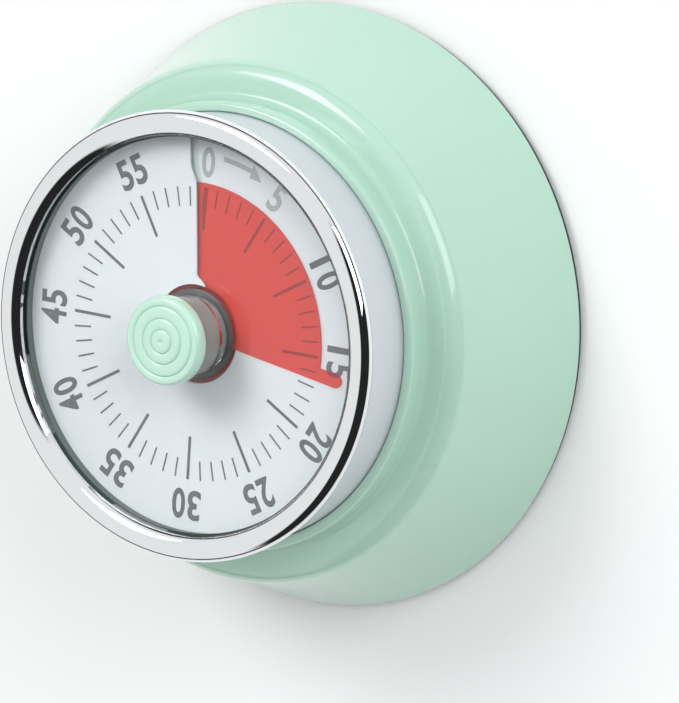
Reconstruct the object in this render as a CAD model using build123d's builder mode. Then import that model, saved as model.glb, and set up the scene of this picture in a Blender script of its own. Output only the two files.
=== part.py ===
"""Round magnetic kitchen timer with a wind-up movement, dial face up.

Millimetres. +Z runs along the timer's axis from its back to its face, the back
rests on z = 0, and the 0 mark of the dial points along +Y. Times on the dial
count clockwise seen from the front.
"""
from build123d import *
import os
from math import cos, sin, radians, hypot, atan2, degrees, acos

os.makedirs("parts", exist_ok=True)

# ---------------------------------------------------------------- clearances
running_gap = 0.05        # radial, shaft in its own bore
seat_gap = 0.02           # radial, between pieces pressed or screwed together
free_gap = 0.3            # between pieces that pass each other
ramp_gap = 0.1            # between the time disc and the dial, above and below

# ---------------------------------------------------------------- back
foot_spread = 5.15        # how far the housing's foot stands out past its shoulder
ground_lift = 0.2         # the back cover stands this far off the surface
cover_rim = 0.6           # thickness of the rim that the housing stands on
cover_rim_inset = 0.35    # rim edge inside the housing's outer edge
cover_plug = 1.2          # height of the plug that centres the housing
ring_margin = 1.0         # from the screw heads to the rubber ring
ring_width = 2.6
ring_groove = 0.5         # depth of the groove that holds the rubber ring
magnet_radius = 6.0
magnet_height = 2.5
magnet_circle = 17.0
magnet_count = 3
magnet_recess = 0.1
cup_wall = 0.9
cup_roof = 0.5
screw_reach = 1.85        # from the drum's outside to the axis of a back screw
screw_head_radius = 2.0
screw_count = 3
screw_angle = 90.0

# ---------------------------------------------------------------- housing
wall = 0.8
foot_flare = 0.35         # how hollow the side wall is between foot and shoulder
foot_round = 0.35
foot_band = 0.5           # short upright band at the housing's foot
shoulder_z = 18.2
shoulder_ledge = 5.1      # from the drum to the housing's shoulder
shoulder_round = 2.4
collar_wall = 1.15
collar_height = 3.2
collar_fillet = 0.9
collar_round = 0.55

# ---------------------------------------------------------------- drum
drum_radius = 24.75
drum_wall = 0.6
drum_band = 7.65          # how far the drum stands above the housing's collar
flange_width = 2.2
flange_height = 1.0
boss_radius = 2.0
ledge_width = 5.8         # from the drum's bore to the inner edge of its ledge
ledge_height = 0.8

# ---------------------------------------------------------------- bezel and lens
bezel_reach = 1.22        # how far the bezel stands out past the drum
bezel_skirt = 0.9         # how far it reaches down over the drum
bezel_crown = 1.05        # how far it stands above the drum
bezel_margin = 0.25       # from the dial's edge to the bezel's opening
lens_height = 0.9

# ---------------------------------------------------------------- dial
dial_inset = 1.4          # from the drum's bore to the dial's edge
dial_hole_gap = 0.5       # from the hub to the hole in the dial
dial_sheet = 0.2
disc_sheet = 0.1
dial_depth = 2.53         # from the drum's top down to the dial at the 0 mark
seat_width = 1.8          # of the dial's edge that the shelf carries
seat_shelf = 1.1          # thickness of the shelf under the dial
slit_margin = 20.0        # degrees of ramp kept past the slit before it is cut
shelf_margin = 10.0       # degrees left free between the ends of the dial's shelf
slit_inner = 0.1          # the slit runs this far to the left of the 0 line at its
slit_outer = 0.97         # inner end, at its jog, past its jog and at the dial's rim
slit_jog = 1.85
slit_rim = 2.3
slit_lap = 1.2            # how far the dial's low end runs on under its high end
slit_step_gap = 0.1       # from the time disc's edge to the jog in the slit
slit_step_run = 1.7
slit_lip = 1.15           # how far the high end's tongue reaches to the right
slit_lip_length = 1.0
tab_inset = 2.35          # from the dial's edge to the pointer's tip
tab_reach = 3.0           # how far the pointer stands out past the time disc
tab_width = 1.6
disc_span = 352.0         # degrees of ring that the time disc covers
hub_wall = 0.8            # from the knob's stem to the outside of the hub
hub_grip = 0.45           # how far the time disc reaches into the hub
hub_below = 0.3
hub_above = 0.1
time_at_rest = 16.5       # minutes shown in the rest position

# ---------------------------------------------------------------- knob
stem_radius = 4.6
stem_drop = 1.6           # how far the stem reaches below the dial
cap_lift = 2.8            # from the drum's top to the knob's cap
washer_height = 0.2
washer_reach = 0.15
cap_reach = 0.6           # how far the cap stands out past its stem
cap_height = 2.4
groove_insets = (1.15, 2.57, 3.81)
groove_depth = 0.22
cap_dome = 0.15           # rise from one groove to the next
dimple_radius = 0.25

# ---------------------------------------------------------------- movement
plate_margin = 2.1        # from the drum's bore to the edge of a plate
plate_height = 1.0
back_plate_z = 9.0        # underside of the back plate
plate_spacing = 10.0      # clear height between the plates
pillar_radius = 1.4
pillar_inset = 3.05       # from a plate's edge to the axis of a pillar
pillar_count = 3
pillar_angle = 105.0
stud_radius = 0.7
nut_radius = 1.5
nut_height = 0.9
lug_screw_inset = 1.55
lug_screw_count = 4
lug_screw_angle = 30.0

main_arbor_radius = 1.5
main_pivot_radius = 0.75
arbor_radius = 0.6
fine_arbor_radius = 0.42
pivot_radius = 0.3
end_shake = 0.1           # axial play of each arbor

great_teeth = 72
great_module = 0.25
second_teeth = 64
second_module = 0.2
third_teeth = 60
third_module = 0.18
pinion_leaves = 8
wheel_sheet = 0.7
pinion_height = 1.3
collet_radius = 1.7
collet_height = 0.5

second_direction = 150.0      # from the main arbor
third_distance = 15.3         # third arbor from the main arbor
escape_direction = -65.0      # from the third arbor
pallet_direction = -52.6      # from the escape arbor
pallet_distance = 4.78
escape_teeth = 15
escape_tip = 3.7
escape_root = 3.0
pallet_pin_radius = 0.15
pallet_pin_angle = 42.0
pallet_clear = 0.1
pallet_sheet = 0.6

spring_start = 0.6            # from the main arbor to the spring's inner coil
spring_outer = 8.2
spring_turns = 6
spring_strip = 0.28
spring_height = 3.6
spring_post_radius = 0.5

ratchet_teeth = 16
ratchet_tip = 4.0
ratchet_root = 3.4
ratchet_sheet = 0.8
click_circle = 6.2
click_lead = 40.0             # degrees from the click's pivot to its tooth
click_nose_radius = 3.85
click_nose_lead = 4.5
click_direction = 335.0       # the tooth that the click rests behind
click_boss = 0.8
click_pin_radius = 0.45

cam_radius = 3.5
cam_sheet = 0.6
cam_notch = 1.2

gong_radius = 13.0
gong_wall = 0.6
gong_height = 4.4
gong_x = 6.0
gong_round = 2.5
gong_lift = 0.4               # above the magnet cups
hammer_x = 19.5
hammer_y = 6.5
hammer_direction = 70.0       # of the hammer head, from the gong's centre
hammer_head_radius = 1.2
hammer_head_height = 3.2
hammer_arm = 1.2
hammer_sheet = 0.7
hammer_arbor_radius = 0.5

# ---------------------------------------------------------------- worked out
drum_bore = drum_radius - drum_wall
shoulder_radius = drum_radius + shoulder_ledge
base_radius = shoulder_radius + foot_spread
spring_inner = main_arbor_radius + spring_start
screw_circle = drum_radius + screw_reach
ring_inner = screw_circle + screw_head_radius + ring_margin
ring_outer = ring_inner + ring_width
plate_radius = drum_bore - plate_margin
pillar_circle = plate_radius - pillar_inset
lug_screw_circle = plate_radius - lug_screw_inset
ledge_inner = drum_bore - ledge_width
dial_radius = drum_bore - dial_inset
bezel_opening = dial_radius + bezel_margin
seat_inner = dial_radius - seat_width
tab_radius = dial_radius - tab_inset
disc_radius = tab_radius - tab_reach
slit_step_radius = disc_radius + slit_step_gap
hub_radius = stem_radius + hub_wall
disc_inner = hub_radius - hub_grip
dial_hole = hub_radius + dial_hole_gap
slit_lip_radius = dial_hole + slit_lip_length
washer_radius = stem_radius + washer_reach
cap_radius = stem_radius + cap_reach
groove_radii = tuple(cap_radius - inset for inset in groove_insets)
cover_rim_z = ground_lift + cover_rim
cover_top_z = cover_rim_z + cover_plug
cover_rim_radius = base_radius - cover_rim_inset
shell_foot_inner = base_radius - wall
magnet_bottom_z = ground_lift + magnet_recess
cup_top_z = magnet_bottom_z + magnet_height + seat_gap
collar_top_z = shoulder_z + collar_height
collar_bore = drum_radius + running_gap
flange_top_z = shoulder_z - wall
flange_bottom_z = flange_top_z - flange_height
drum_top_z = collar_top_z + drum_band
dial_low_z = drum_top_z - dial_depth
stem_bottom_z = dial_low_z - stem_drop
cap_bottom_z = drum_top_z + cap_lift
lens_top_z = drum_top_z
lens_bottom_z = lens_top_z - lens_height
lens_radius = drum_bore - seat_gap
front_plate_z = back_plate_z + plate_height + plate_spacing
ledge_z = front_plate_z + plate_height
ledge_top_z = ledge_z + ledge_height
plate_floor_z = back_plate_z + plate_height
seat_radius = drum_bore - seat_gap
ramp_rise = dial_sheet + disc_sheet + 2 * ramp_gap
disc_low_z = dial_low_z + ramp_gap + disc_sheet
stem_bore = main_arbor_radius + seat_gap
cap_top_z = cap_bottom_z + cap_height

spring_z = plate_floor_z + 0.6
ratchet_z = spring_z + spring_height + 0.6
great_z = ratchet_z + ratchet_sheet + free_gap
cam_z = great_z + wheel_sheet + 0.5
second_z = cam_z + cam_sheet + free_gap
third_z = plate_floor_z + 2.0
escape_z = ratchet_z + 0.2
pallet_z = escape_z - pallet_sheet - 0.8
hammer_z = back_plate_z - hammer_sheet - free_gap
gong_bottom_z = cup_top_z + cup_roof + gong_lift
gong_top_z = gong_bottom_z + gong_height

second_distance = great_module * (great_teeth + pinion_leaves) / 2
third_reach = second_module * (second_teeth + pinion_leaves) / 2
escape_reach = third_module * (third_teeth + pinion_leaves) / 2
pallet_pin_circle = escape_tip + pallet_pin_radius + pallet_clear


def polar(radius, direction, centre=(0.0, 0.0)):
    """The point at a distance and direction in degrees from a centre."""
    x = centre[0] + radius * cos(radians(direction))
    y = centre[1] + radius * sin(radians(direction))
    return (x, y)


def direction_of(start, end):
    """Direction in degrees from one point to another."""
    return degrees(atan2(end[1] - start[1], end[0] - start[0]))


main_at = (0.0, 0.0)
second_at = polar(second_distance, second_direction)
third_lead = degrees(
    acos(
        (second_distance**2 + third_distance**2 - third_reach**2)
        / (2 * second_distance * third_distance)
    )
)
third_at = polar(third_distance, second_direction + third_lead)
escape_at = polar(escape_reach, escape_direction, third_at)
pallet_at = polar(pallet_distance, pallet_direction, escape_at)
gong_at = (gong_x, 0.0)
hammer_at = (hammer_x, hammer_y)
head_circle = gong_radius + free_gap + hammer_head_radius
head_at = polar(head_circle, hammer_direction, gong_at)
tail_circle = cam_radius + free_gap + hammer_arm / 2
tail_at = polar(tail_circle, direction_of(main_at, hammer_at))
click_at = polar(click_circle, click_direction + click_lead)
nose_at = polar(click_nose_radius, click_direction + click_nose_lead)
spring_end_at = polar(spring_outer + spring_strip + spring_post_radius + seat_gap, 60.0)


def save(builder, name):
    """Label a finished piece and write it to its own file."""
    builder.part.label = name
    export_step(builder.part, "parts/" + name + ".step")


def turned(points, rounded=()):
    """Revolve a closed outline of (radius, height) points about the axis.

    rounded lists (corner number, radius) pairs for corners that are filleted.
    """
    with BuildPart() as body:
        with BuildSketch(Plane.XZ) as section:
            with BuildLine():
                Polyline(*points, close=True)
            make_face()
            for number, radius in rounded:
                x, z = points[number]
                fillet(section.vertices().sort_by_distance((x, z, 0))[0], radius)
        revolve(axis=Axis.Z)
    return body.part


def disc_at(radius, bottom, height, centre=main_at, bore=0.0):
    """A plain disc or ring standing on the height bottom, about a centre."""
    with BuildPart() as body:
        with BuildSketch(Plane.XY.offset(bottom)):
            with Locations(centre):
                Circle(radius)
                if bore:
                    Circle(bore, mode=Mode.SUBTRACT)
        extrude(amount=height)
    return body.part


def link(start, end, width, bottom, height):
    """A flat bar with round ends between two points."""
    middle = ((start[0] + end[0]) / 2, (start[1] + end[1]) / 2)
    length = hypot(end[0] - start[0], end[1] - start[1])
    with BuildPart() as bar:
        with BuildSketch(Plane.XY.offset(bottom)):
            with Locations(Location((middle[0], middle[1], 0), (0, 0, direction_of(start, end)))):
                SlotCenterToCenter(length, width)
        extrude(amount=height)
    return bar.part


def toothed(teeth, root, tip, root_share, tip_share, centre, phase, bottom, height, lean=0.0):
    """A disc with straight-sided teeth, one of them centred on the phase.

    The shares give a tooth's width at root and tip as parts of the pitch, and
    lean moves its tip round by a part of the pitch, which makes it a saw tooth.
    """
    pitch = 360.0 / teeth
    outline = []
    for tooth in range(teeth):
        middle = phase + tooth * pitch
        outline.append(polar(root, middle - root_share * pitch / 2, centre))
        outline.append(polar(tip, middle + (lean - tip_share / 2) * pitch, centre))
        outline.append(polar(tip, middle + (lean + tip_share / 2) * pitch, centre))
        outline.append(polar(root, middle + root_share * pitch / 2, centre))
    with BuildPart() as body:
        with BuildSketch(Plane.XY.offset(bottom)):
            with BuildLine():
                Polyline(*outline, close=True)
            make_face()
        extrude(amount=height)
    return body.part


def wheel(teeth, module, centre, phase, bottom, bore, windows):
    """A thin brass wheel with round windows and a collet on its arbor."""
    pitch_radius = teeth * module / 2
    rim = toothed(
        teeth, pitch_radius - 0.9 * module, pitch_radius + 0.6 * module,
        0.56, 0.20, centre, phase, bottom, wheel_sheet,
    )
    inner = max(collet_radius, bore + 0.6)
    outer = pitch_radius - 3.0 * module
    window = (outer - inner) / 2 - 0.15
    with BuildPart() as body:
        add(rim)
        add(disc_at(inner, bottom, wheel_sheet + collet_height, centre))
        with BuildSketch(Plane.XY.offset(bottom)):
            with Locations(centre):
                with PolarLocations((outer + inner) / 2, windows):
                    Circle(window)
        extrude(amount=wheel_sheet, mode=Mode.SUBTRACT)
        add(disc_at(bore, bottom, wheel_sheet + collet_height, centre), mode=Mode.SUBTRACT)
    return body.part


def arbor(centre, radius, module, leaves_z, phase):
    """A steel arbor between the plates with its pinion cut in one piece."""
    shoulder_bottom = plate_floor_z + end_shake
    shoulder_height = plate_spacing - 2 * end_shake
    pivot_bottom = back_plate_z + end_shake
    pivot_height = plate_spacing + 2 * plate_height - 2 * end_shake
    pitch_radius = pinion_leaves * module / 2
    with BuildPart() as body:
        add(disc_at(radius, shoulder_bottom, shoulder_height, centre))
        add(disc_at(pivot_radius, pivot_bottom, pivot_height, centre))
        if leaves_z is not None:
            add(
                toothed(
                    pinion_leaves, pitch_radius - 1.15 * module, pitch_radius + 0.75 * module,
                    0.42, 0.16, centre, phase, leaves_z, pinion_height,
                )
            )
    return body.part


def ramp(inner, outer, sheet, start, span, start_z):
    """A ring sector that climbs clockwise by ramp_rise a turn.

    start is in degrees clockwise from the 0 mark, and start_z is the height of
    the sheet's top there. The section is a flat strip carried along a helix.
    """
    middle = (inner + outer) / 2
    with BuildPart() as body:
        with BuildLine(Plane.XY.offset(start_z)):
            Helix(pitch=ramp_rise, height=ramp_rise * span / 360, radius=middle, lefthand=True)
        with BuildSketch(Plane.XZ):
            with Locations((middle, start_z)):
                Rectangle(outer - inner, sheet, align=(Align.CENTER, Align.MAX))
        sweep(is_frenet=True)
    return body.part.rotate(Axis.Z, 90 - start)


def screw(centre, head_z, head_radius, head_height, shank, length, up, countersunk):
    """A screw with a cross recess; up is the way its shank points, +1 or -1."""
    neck = shank if countersunk else head_radius
    outline = [
        (0, 0), (head_radius, 0), (neck, head_height), (shank, head_height),
        (shank, length), (0, length),
    ]
    if countersunk:
        outline.remove((neck, head_height))
    blank = turned(outline)
    with BuildPart() as body:
        add(blank)
        with BuildSketch(Plane.XY):
            Rectangle(head_radius, 0.24 * head_radius)
            Rectangle(0.24 * head_radius, head_radius)
        extrude(amount=0.4 * head_height, mode=Mode.SUBTRACT)
    turn = 0 if up > 0 else 180
    return body.part.rotate(Axis.X, turn).translate((centre[0], centre[1], head_z))


# ================================================================ housing
# Spun steel cover: a slightly hollow side wall, a rolled shoulder, a flat top
# and a beaded collar that hugs the drum.
mid_z = (cover_rim_z + shoulder_z) / 2
mid_outer = (base_radius + shoulder_radius) / 2 - foot_flare
with BuildPart() as housing_shell:
    with BuildSketch(Plane.XZ) as section:
        with BuildLine():
            ThreePointArc(
                (base_radius, cover_rim_z + foot_band), (mid_outer, mid_z),
                (shoulder_radius, shoulder_z),
            )
            Polyline(
                (shoulder_radius, shoulder_z),
                (collar_bore + collar_wall, shoulder_z),
                (collar_bore + collar_wall, collar_top_z),
                (collar_bore, collar_top_z),
                (collar_bore, flange_top_z),
                (shoulder_radius - wall, flange_top_z),
            )
            ThreePointArc(
                (shoulder_radius - wall, flange_top_z), (mid_outer - wall, mid_z),
                (shell_foot_inner, cover_rim_z),
            )
            Polyline(
                (shell_foot_inner, cover_rim_z), (base_radius, cover_rim_z),
                (base_radius, cover_rim_z + foot_band),
            )
        make_face()
        for at, rounding in (
            ((shoulder_radius, shoulder_z), shoulder_round),
            ((shoulder_radius - wall, flange_top_z), shoulder_round - wall),
            ((collar_bore + collar_wall, shoulder_z), collar_fillet),
            ((collar_bore + collar_wall, collar_top_z), collar_round),
            ((collar_bore, collar_top_z), collar_round / 2),
            ((base_radius, cover_rim_z), foot_round),
        ):
            fillet(section.vertices().sort_by_distance((at[0], at[1], 0))[0], rounding)
    revolve(axis=Axis.Z)
save(housing_shell, "housing_shell")

# Silver drum: the visible band, a flange under the housing's top, a ledge that
# carries the movement and the dial, and three bosses for the back screws.
with BuildPart() as face_drum:
    add(
        turned(
            [
                (drum_bore, drum_top_z), (drum_radius, drum_top_z),
                (drum_radius, flange_top_z), (drum_radius + flange_width, flange_top_z),
                (drum_radius + flange_width, flange_bottom_z), (drum_bore, flange_bottom_z),
                (drum_bore, ledge_z), (ledge_inner, ledge_z),
                (ledge_inner, ledge_top_z), (drum_bore, ledge_top_z),
            ]
        )
    )
    with BuildSketch(Plane.XY.offset(cover_top_z)):
        with PolarLocations(screw_circle, screw_count, start_angle=screw_angle):
            Circle(boss_radius)
    extrude(amount=flange_bottom_z - cover_top_z)
    with BuildSketch(Plane.XY.offset(cover_top_z)):
        with PolarLocations(screw_circle, screw_count, start_angle=screw_angle):
            Circle(stud_radius)
    extrude(amount=6.0, mode=Mode.SUBTRACT)
    with BuildSketch(Plane.XY.offset(ledge_z)):
        with PolarLocations(lug_screw_circle, lug_screw_count, start_angle=lug_screw_angle):
            Circle(stud_radius)
    extrude(amount=ledge_height, mode=Mode.SUBTRACT)
save(face_drum, "face_drum")

# Chromed bezel, an upside-down channel pressed over the drum's top.
with BuildPart() as bezel_ring:
    with BuildSketch(Plane.XZ) as section:
        skirt_z = drum_top_z - bezel_skirt
        rim_radius = drum_radius + bezel_reach
        skirt_radius = drum_radius + seat_gap
        crown_z = drum_top_z + bezel_crown
        with BuildLine():
            Polyline(
                (skirt_radius, drum_top_z),
                (skirt_radius, skirt_z),
                (rim_radius - 0.08, drum_top_z - 0.15),
                (rim_radius, drum_top_z + 0.1),
            )
            ThreePointArc(
                (rim_radius, drum_top_z + 0.1),
                (rim_radius - 0.38, crown_z - 0.26),
                (rim_radius - 1.35, crown_z),
            )
            ThreePointArc(
                (rim_radius - 1.35, crown_z),
                (bezel_opening + 0.5, crown_z - 0.14),
                (bezel_opening, drum_top_z + 0.5),
            )
            Polyline(
                (bezel_opening, drum_top_z + 0.5),
                (bezel_opening, drum_top_z),
                (skirt_radius, drum_top_z),
            )
        make_face()
    revolve(axis=Axis.Z)
save(bezel_ring, "bezel_ring")

# ================================================================ back
ring_mid = (ring_inner + ring_outer) / 2
screw_head_height = 1.1
screw_shank = 0.65
with BuildPart() as back_cover:
    add(
        turned(
            [
                (0, ground_lift), (cover_rim_radius, ground_lift),
                (cover_rim_radius, cover_rim_z), (shell_foot_inner - 0.6, cover_rim_z),
                (shell_foot_inner - 0.9, cover_top_z), (0, cover_top_z),
            ]
        )
    )
    with BuildSketch(Plane.XY.offset(cover_top_z)):
        with PolarLocations(magnet_circle, magnet_count, start_angle=30.0):
            Circle(magnet_radius + cup_wall)
    extrude(amount=cup_top_z + cup_roof - cover_top_z)
    with BuildSketch(Plane.XY.offset(ground_lift)):
        with PolarLocations(magnet_circle, magnet_count, start_angle=30.0):
            Circle(magnet_radius + seat_gap)
    extrude(amount=cup_top_z - ground_lift, mode=Mode.SUBTRACT)
    with BuildSketch(Plane.XY.offset(ground_lift)):
        Circle(ring_outer)
        Circle(ring_inner, mode=Mode.SUBTRACT)
    extrude(amount=ring_groove, mode=Mode.SUBTRACT)
    for corner in range(screw_count):
        x, y = polar(screw_circle, screw_angle + corner * 360 / screw_count)
        sink = turned(
            [
                (0, ground_lift), (screw_head_radius + seat_gap, ground_lift),
                (screw_shank + seat_gap, ground_lift + screw_head_height),
                (screw_shank + seat_gap, cover_top_z), (0, cover_top_z),
            ]
        )
        add(sink.translate((x, y, 0)), mode=Mode.SUBTRACT)
save(back_cover, "back_cover")

with BuildPart() as rubber_ring:
    add(disc_at(ring_outer, 0.0, ground_lift + ring_groove, bore=ring_inner))
save(rubber_ring, "rubber_ring")

with BuildPart() as magnet_discs:
    with BuildSketch(Plane.XY.offset(magnet_bottom_z)):
        with PolarLocations(magnet_circle, magnet_count, start_angle=30.0):
            Circle(magnet_radius)
    extrude(amount=magnet_height)
save(magnet_discs, "magnet_discs")

with BuildPart() as cover_screws:
    for corner in range(screw_count):
        at = polar(screw_circle, screw_angle + corner * 360 / screw_count)
        add(screw(at, ground_lift, screw_head_radius, screw_head_height, screw_shank, 6.5, 1, True))
save(cover_screws, "cover_screws")

# ================================================================ lens and dial
with BuildPart() as lens:
    add(disc_at(lens_radius, lens_bottom_z, lens_height, bore=stem_radius + running_gap * 2))
save(lens, "lens")

# The seat is a black ring on the drum's ledge. Its shelf climbs with the dial,
# and its wall holds the lens off the dial.
with BuildPart() as dial_seat:
    add(
        turned(
            [
                (seat_radius, ledge_top_z), (seat_radius, lens_bottom_z),
                (dial_radius + seat_gap, lens_bottom_z), (dial_radius + seat_gap, ledge_top_z),
            ]
        )
    )
    add(
        ramp(
            seat_inner, (dial_radius + seat_radius) / 2, seat_shelf, 0.0, 360.0 - shelf_margin,
            dial_low_z - dial_sheet - seat_gap,
        )
    )
save(dial_seat, "dial_seat")

# The dial is one turn of a shallow ramp, so that the time disc can run over it
# on one side of the slit and under it on the other.
middle_z = dial_low_z + ramp_rise / 2 - dial_sheet / 2
beyond = dial_radius + 1
left = [
    (slit_inner, slit_lip_radius), (slit_outer, slit_step_radius),
    (slit_jog, slit_step_radius + slit_step_run), (slit_rim, beyond),
]
low_edge = [(-left[0][0] - slit_lap, 3.0)]
low_edge += [(-x - slit_lap, y) for x, y in left]
low_edge += [(-beyond / 3, beyond), (-beyond / 3, 3.0)]
high_edge = [(slit_lip, 3.0), (slit_lip, slit_lip_radius - 0.8)]
high_edge += [(-x, y) for x, y in left]
high_edge += [(beyond / 3, beyond), (beyond / 3, 3.0)]
with BuildPart() as dial_plate:
    add(
        ramp(
            dial_hole, dial_radius, dial_sheet, -slit_margin, 360 + 2 * slit_margin,
            dial_low_z - ramp_rise * slit_margin / 360,
        )
    )
    with BuildSketch(Plane.XY.offset(middle_z - 1.0)) as edge:
        with BuildLine():
            Polyline(*low_edge, close=True)
        make_face()
        for x, y in low_edge[2:4]:
            fillet(edge.vertices().sort_by_distance((x, y, 0))[0], 0.5)
    extrude(amount=1.0, mode=Mode.SUBTRACT)
    with BuildSketch(Plane.XY.offset(middle_z)) as edge:
        with BuildLine():
            Polyline(*high_edge, close=True)
        make_face()
        for x, y in high_edge[1:5]:
            fillet(edge.vertices().sort_by_distance((x, y, 0))[0], 0.4)
    extrude(amount=1.0, mode=Mode.SUBTRACT)
save(dial_plate, "dial_plate")

# The red time disc has the dial's pitch, and its leading edge carries a pointer.
lead = time_at_rest * 6.0
tail = lead - disc_span
with BuildPart() as time_disc:
    add(
        ramp(
            disc_inner, tab_radius, disc_sheet, tail, disc_span,
            disc_low_z + ramp_rise * tail / 360,
        )
    )
    with BuildSketch(Plane.XY.offset(disc_low_z - 2 * ramp_rise)):
        Circle(tab_radius + 1)
        Circle(disc_radius, mode=Mode.SUBTRACT)
        tab_length = 2 * (tab_radius - disc_radius + 1)
        with Locations(Location((0, 0, 0), (0, 0, 90 - lead))):
            with Locations((tab_radius - tab_length / 2, tab_width / 2)):
                SlotOverall(tab_length, tab_width, mode=Mode.SUBTRACT)
    extrude(amount=4 * ramp_rise, mode=Mode.SUBTRACT)
save(time_disc, "time_disc")

hub_bottom_z = disc_low_z + ramp_rise * tail / 360 - disc_sheet - hub_below
hub_top_z = disc_low_z + ramp_rise * lead / 360 + hub_above
with BuildPart() as disc_hub:
    add(
        disc_at(
            hub_radius, hub_bottom_z, hub_top_z - hub_bottom_z, bore=stem_radius + running_gap
        )
    )
    add(time_disc.part, mode=Mode.SUBTRACT)
save(disc_hub, "disc_hub")

# ================================================================ knob
with BuildPart() as knob_stem:
    add(
        disc_at(
            stem_radius, stem_bottom_z, cap_bottom_z - washer_height - stem_bottom_z, bore=stem_bore
        )
    )
save(knob_stem, "knob_stem")

with BuildPart() as stem_washer:
    add(disc_at(washer_radius, cap_bottom_z - washer_height, washer_height, bore=stem_bore))
save(stem_washer, "stem_washer")

# Rounded rings rise in small steps towards a centre dimple.
arbor_top_z = cap_bottom_z + 1.0
ridge_z = cap_top_z - cap_dome * len(groove_radii)
with BuildPart() as knob_cap:
    with BuildSketch(Plane.XZ):
        with BuildLine():
            Line((stem_bore, arbor_top_z), (stem_bore, cap_bottom_z))
            Line((stem_bore, cap_bottom_z), (cap_radius - 0.7, cap_bottom_z))
            ThreePointArc(
                (cap_radius - 0.7, cap_bottom_z), (cap_radius, cap_bottom_z + 0.75),
                (cap_radius - 0.62, ridge_z - 0.05),
            )
            ThreePointArc(
                (cap_radius - 0.62, ridge_z - 0.05), (groove_radii[0] + 0.25, ridge_z - 0.03),
                (groove_radii[0], ridge_z - groove_depth),
            )
            edge_radius = groove_radii[0]
            edge_z = ridge_z - groove_depth
            for step, inner_radius in enumerate(groove_radii[1:] + (dimple_radius,)):
                inner_z = edge_z + cap_dome
                crest_z = inner_z + groove_depth - cap_dome / 2
                ThreePointArc(
                    (edge_radius, edge_z), ((edge_radius + inner_radius) / 2, crest_z),
                    (inner_radius, inner_z),
                )
                edge_radius = inner_radius
                edge_z = inner_z
            Polyline(
                (dimple_radius, edge_z), (0, edge_z - 0.12), (0, arbor_top_z),
                (stem_bore, arbor_top_z),
            )
        make_face()
    revolve(axis=Axis.Z)
save(knob_cap, "knob_cap")

with BuildPart() as main_arbor:
    add(disc_at(main_pivot_radius, back_plate_z + end_shake, 2 * plate_height))
    arbor_foot_z = plate_floor_z + end_shake
    add(disc_at(main_arbor_radius, arbor_foot_z, arbor_top_z - arbor_foot_z))
save(main_arbor, "main_arbor")

# ================================================================ gear train
great_phase = second_direction
second_phase = direction_of(second_at, third_at)
third_phase = escape_direction
half_leaf = 180.0 / pinion_leaves

with BuildPart() as great_wheel:
    add(
        wheel(
            great_teeth, great_module, main_at, great_phase, great_z,
            main_arbor_radius + seat_gap, 5,
        )
    )
save(great_wheel, "great_wheel")

with BuildPart() as second_arbor:
    mesh_z = great_z + (wheel_sheet - pinion_height) / 2
    add(
        arbor(
            second_at, arbor_radius, great_module, mesh_z,
            second_direction + 180 + half_leaf,
        )
    )
save(second_arbor, "second_arbor")

with BuildPart() as second_wheel:
    add(
        wheel(
            second_teeth, second_module, second_at, second_phase, second_z,
            arbor_radius + seat_gap, 5,
        )
    )
save(second_wheel, "second_wheel")

with BuildPart() as third_arbor:
    mesh_z = second_z + (wheel_sheet - pinion_height) / 2
    add(
        arbor(
            third_at, fine_arbor_radius, second_module, mesh_z,
            second_phase + 180 + half_leaf,
        )
    )
save(third_arbor, "third_arbor")

with BuildPart() as third_wheel:
    add(
        wheel(
            third_teeth, third_module, third_at, third_phase, third_z,
            fine_arbor_radius + seat_gap, 5,
        )
    )
save(third_wheel, "third_wheel")

with BuildPart() as escape_arbor:
    mesh_z = third_z + (wheel_sheet - pinion_height) / 2
    add(
        arbor(
            escape_at, fine_arbor_radius, third_module, mesh_z,
            third_phase + 180 + half_leaf,
        )
    )
save(escape_arbor, "escape_arbor")

with BuildPart() as escape_wheel:
    add(
        toothed(
            escape_teeth, escape_root, escape_tip, 0.42, 0.06, escape_at,
            pallet_direction + 180.0 / escape_teeth, escape_z, 0.5,
        )
    )
    add(disc_at(1.2, escape_z - 0.5, 1.5, escape_at))
    add(
        disc_at(fine_arbor_radius + seat_gap, escape_z - 0.5, 1.5, escape_at),
        mode=Mode.SUBTRACT,
    )
save(escape_wheel, "escape_wheel")

# ================================================================ escapement
pin_spots = [
    polar(pallet_pin_circle, pallet_direction + side * pallet_pin_angle, escape_at)
    for side in (-1, 1)
]
with BuildPart() as pallet_arbor:
    add(arbor(pallet_at, fine_arbor_radius, third_module, None, 0.0))
save(pallet_arbor, "pallet_arbor")

with BuildPart() as pallet_lever:
    for spot in pin_spots:
        add(link(pallet_at, spot, 0.9, pallet_z, pallet_sheet))
    add(disc_at(1.0, pallet_z - 0.5, pallet_sheet + 0.5, pallet_at))
    add(
        disc_at(fine_arbor_radius + seat_gap, pallet_z - 0.5, pallet_sheet + 0.5, pallet_at),
        mode=Mode.SUBTRACT,
    )
    for spot in pin_spots:
        add(disc_at(pallet_pin_radius, pallet_z, pallet_sheet, spot), mode=Mode.SUBTRACT)
save(pallet_lever, "pallet_lever")

with BuildPart() as pallet_pins:
    for spot in pin_spots:
        add(disc_at(pallet_pin_radius, pallet_z, escape_z + 0.8 - pallet_z, spot))
save(pallet_pins, "pallet_pins")

# ================================================================ winding click
with BuildPart() as ratchet_wheel:
    add(
        toothed(
            ratchet_teeth, ratchet_root, ratchet_tip, 0.98, 0.02, main_at,
            click_direction - 180.0 / ratchet_teeth, ratchet_z, ratchet_sheet, lean=0.49,
        )
    )
    add(disc_at(main_arbor_radius + seat_gap, ratchet_z, ratchet_sheet), mode=Mode.SUBTRACT)
save(ratchet_wheel, "ratchet_wheel")

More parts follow.
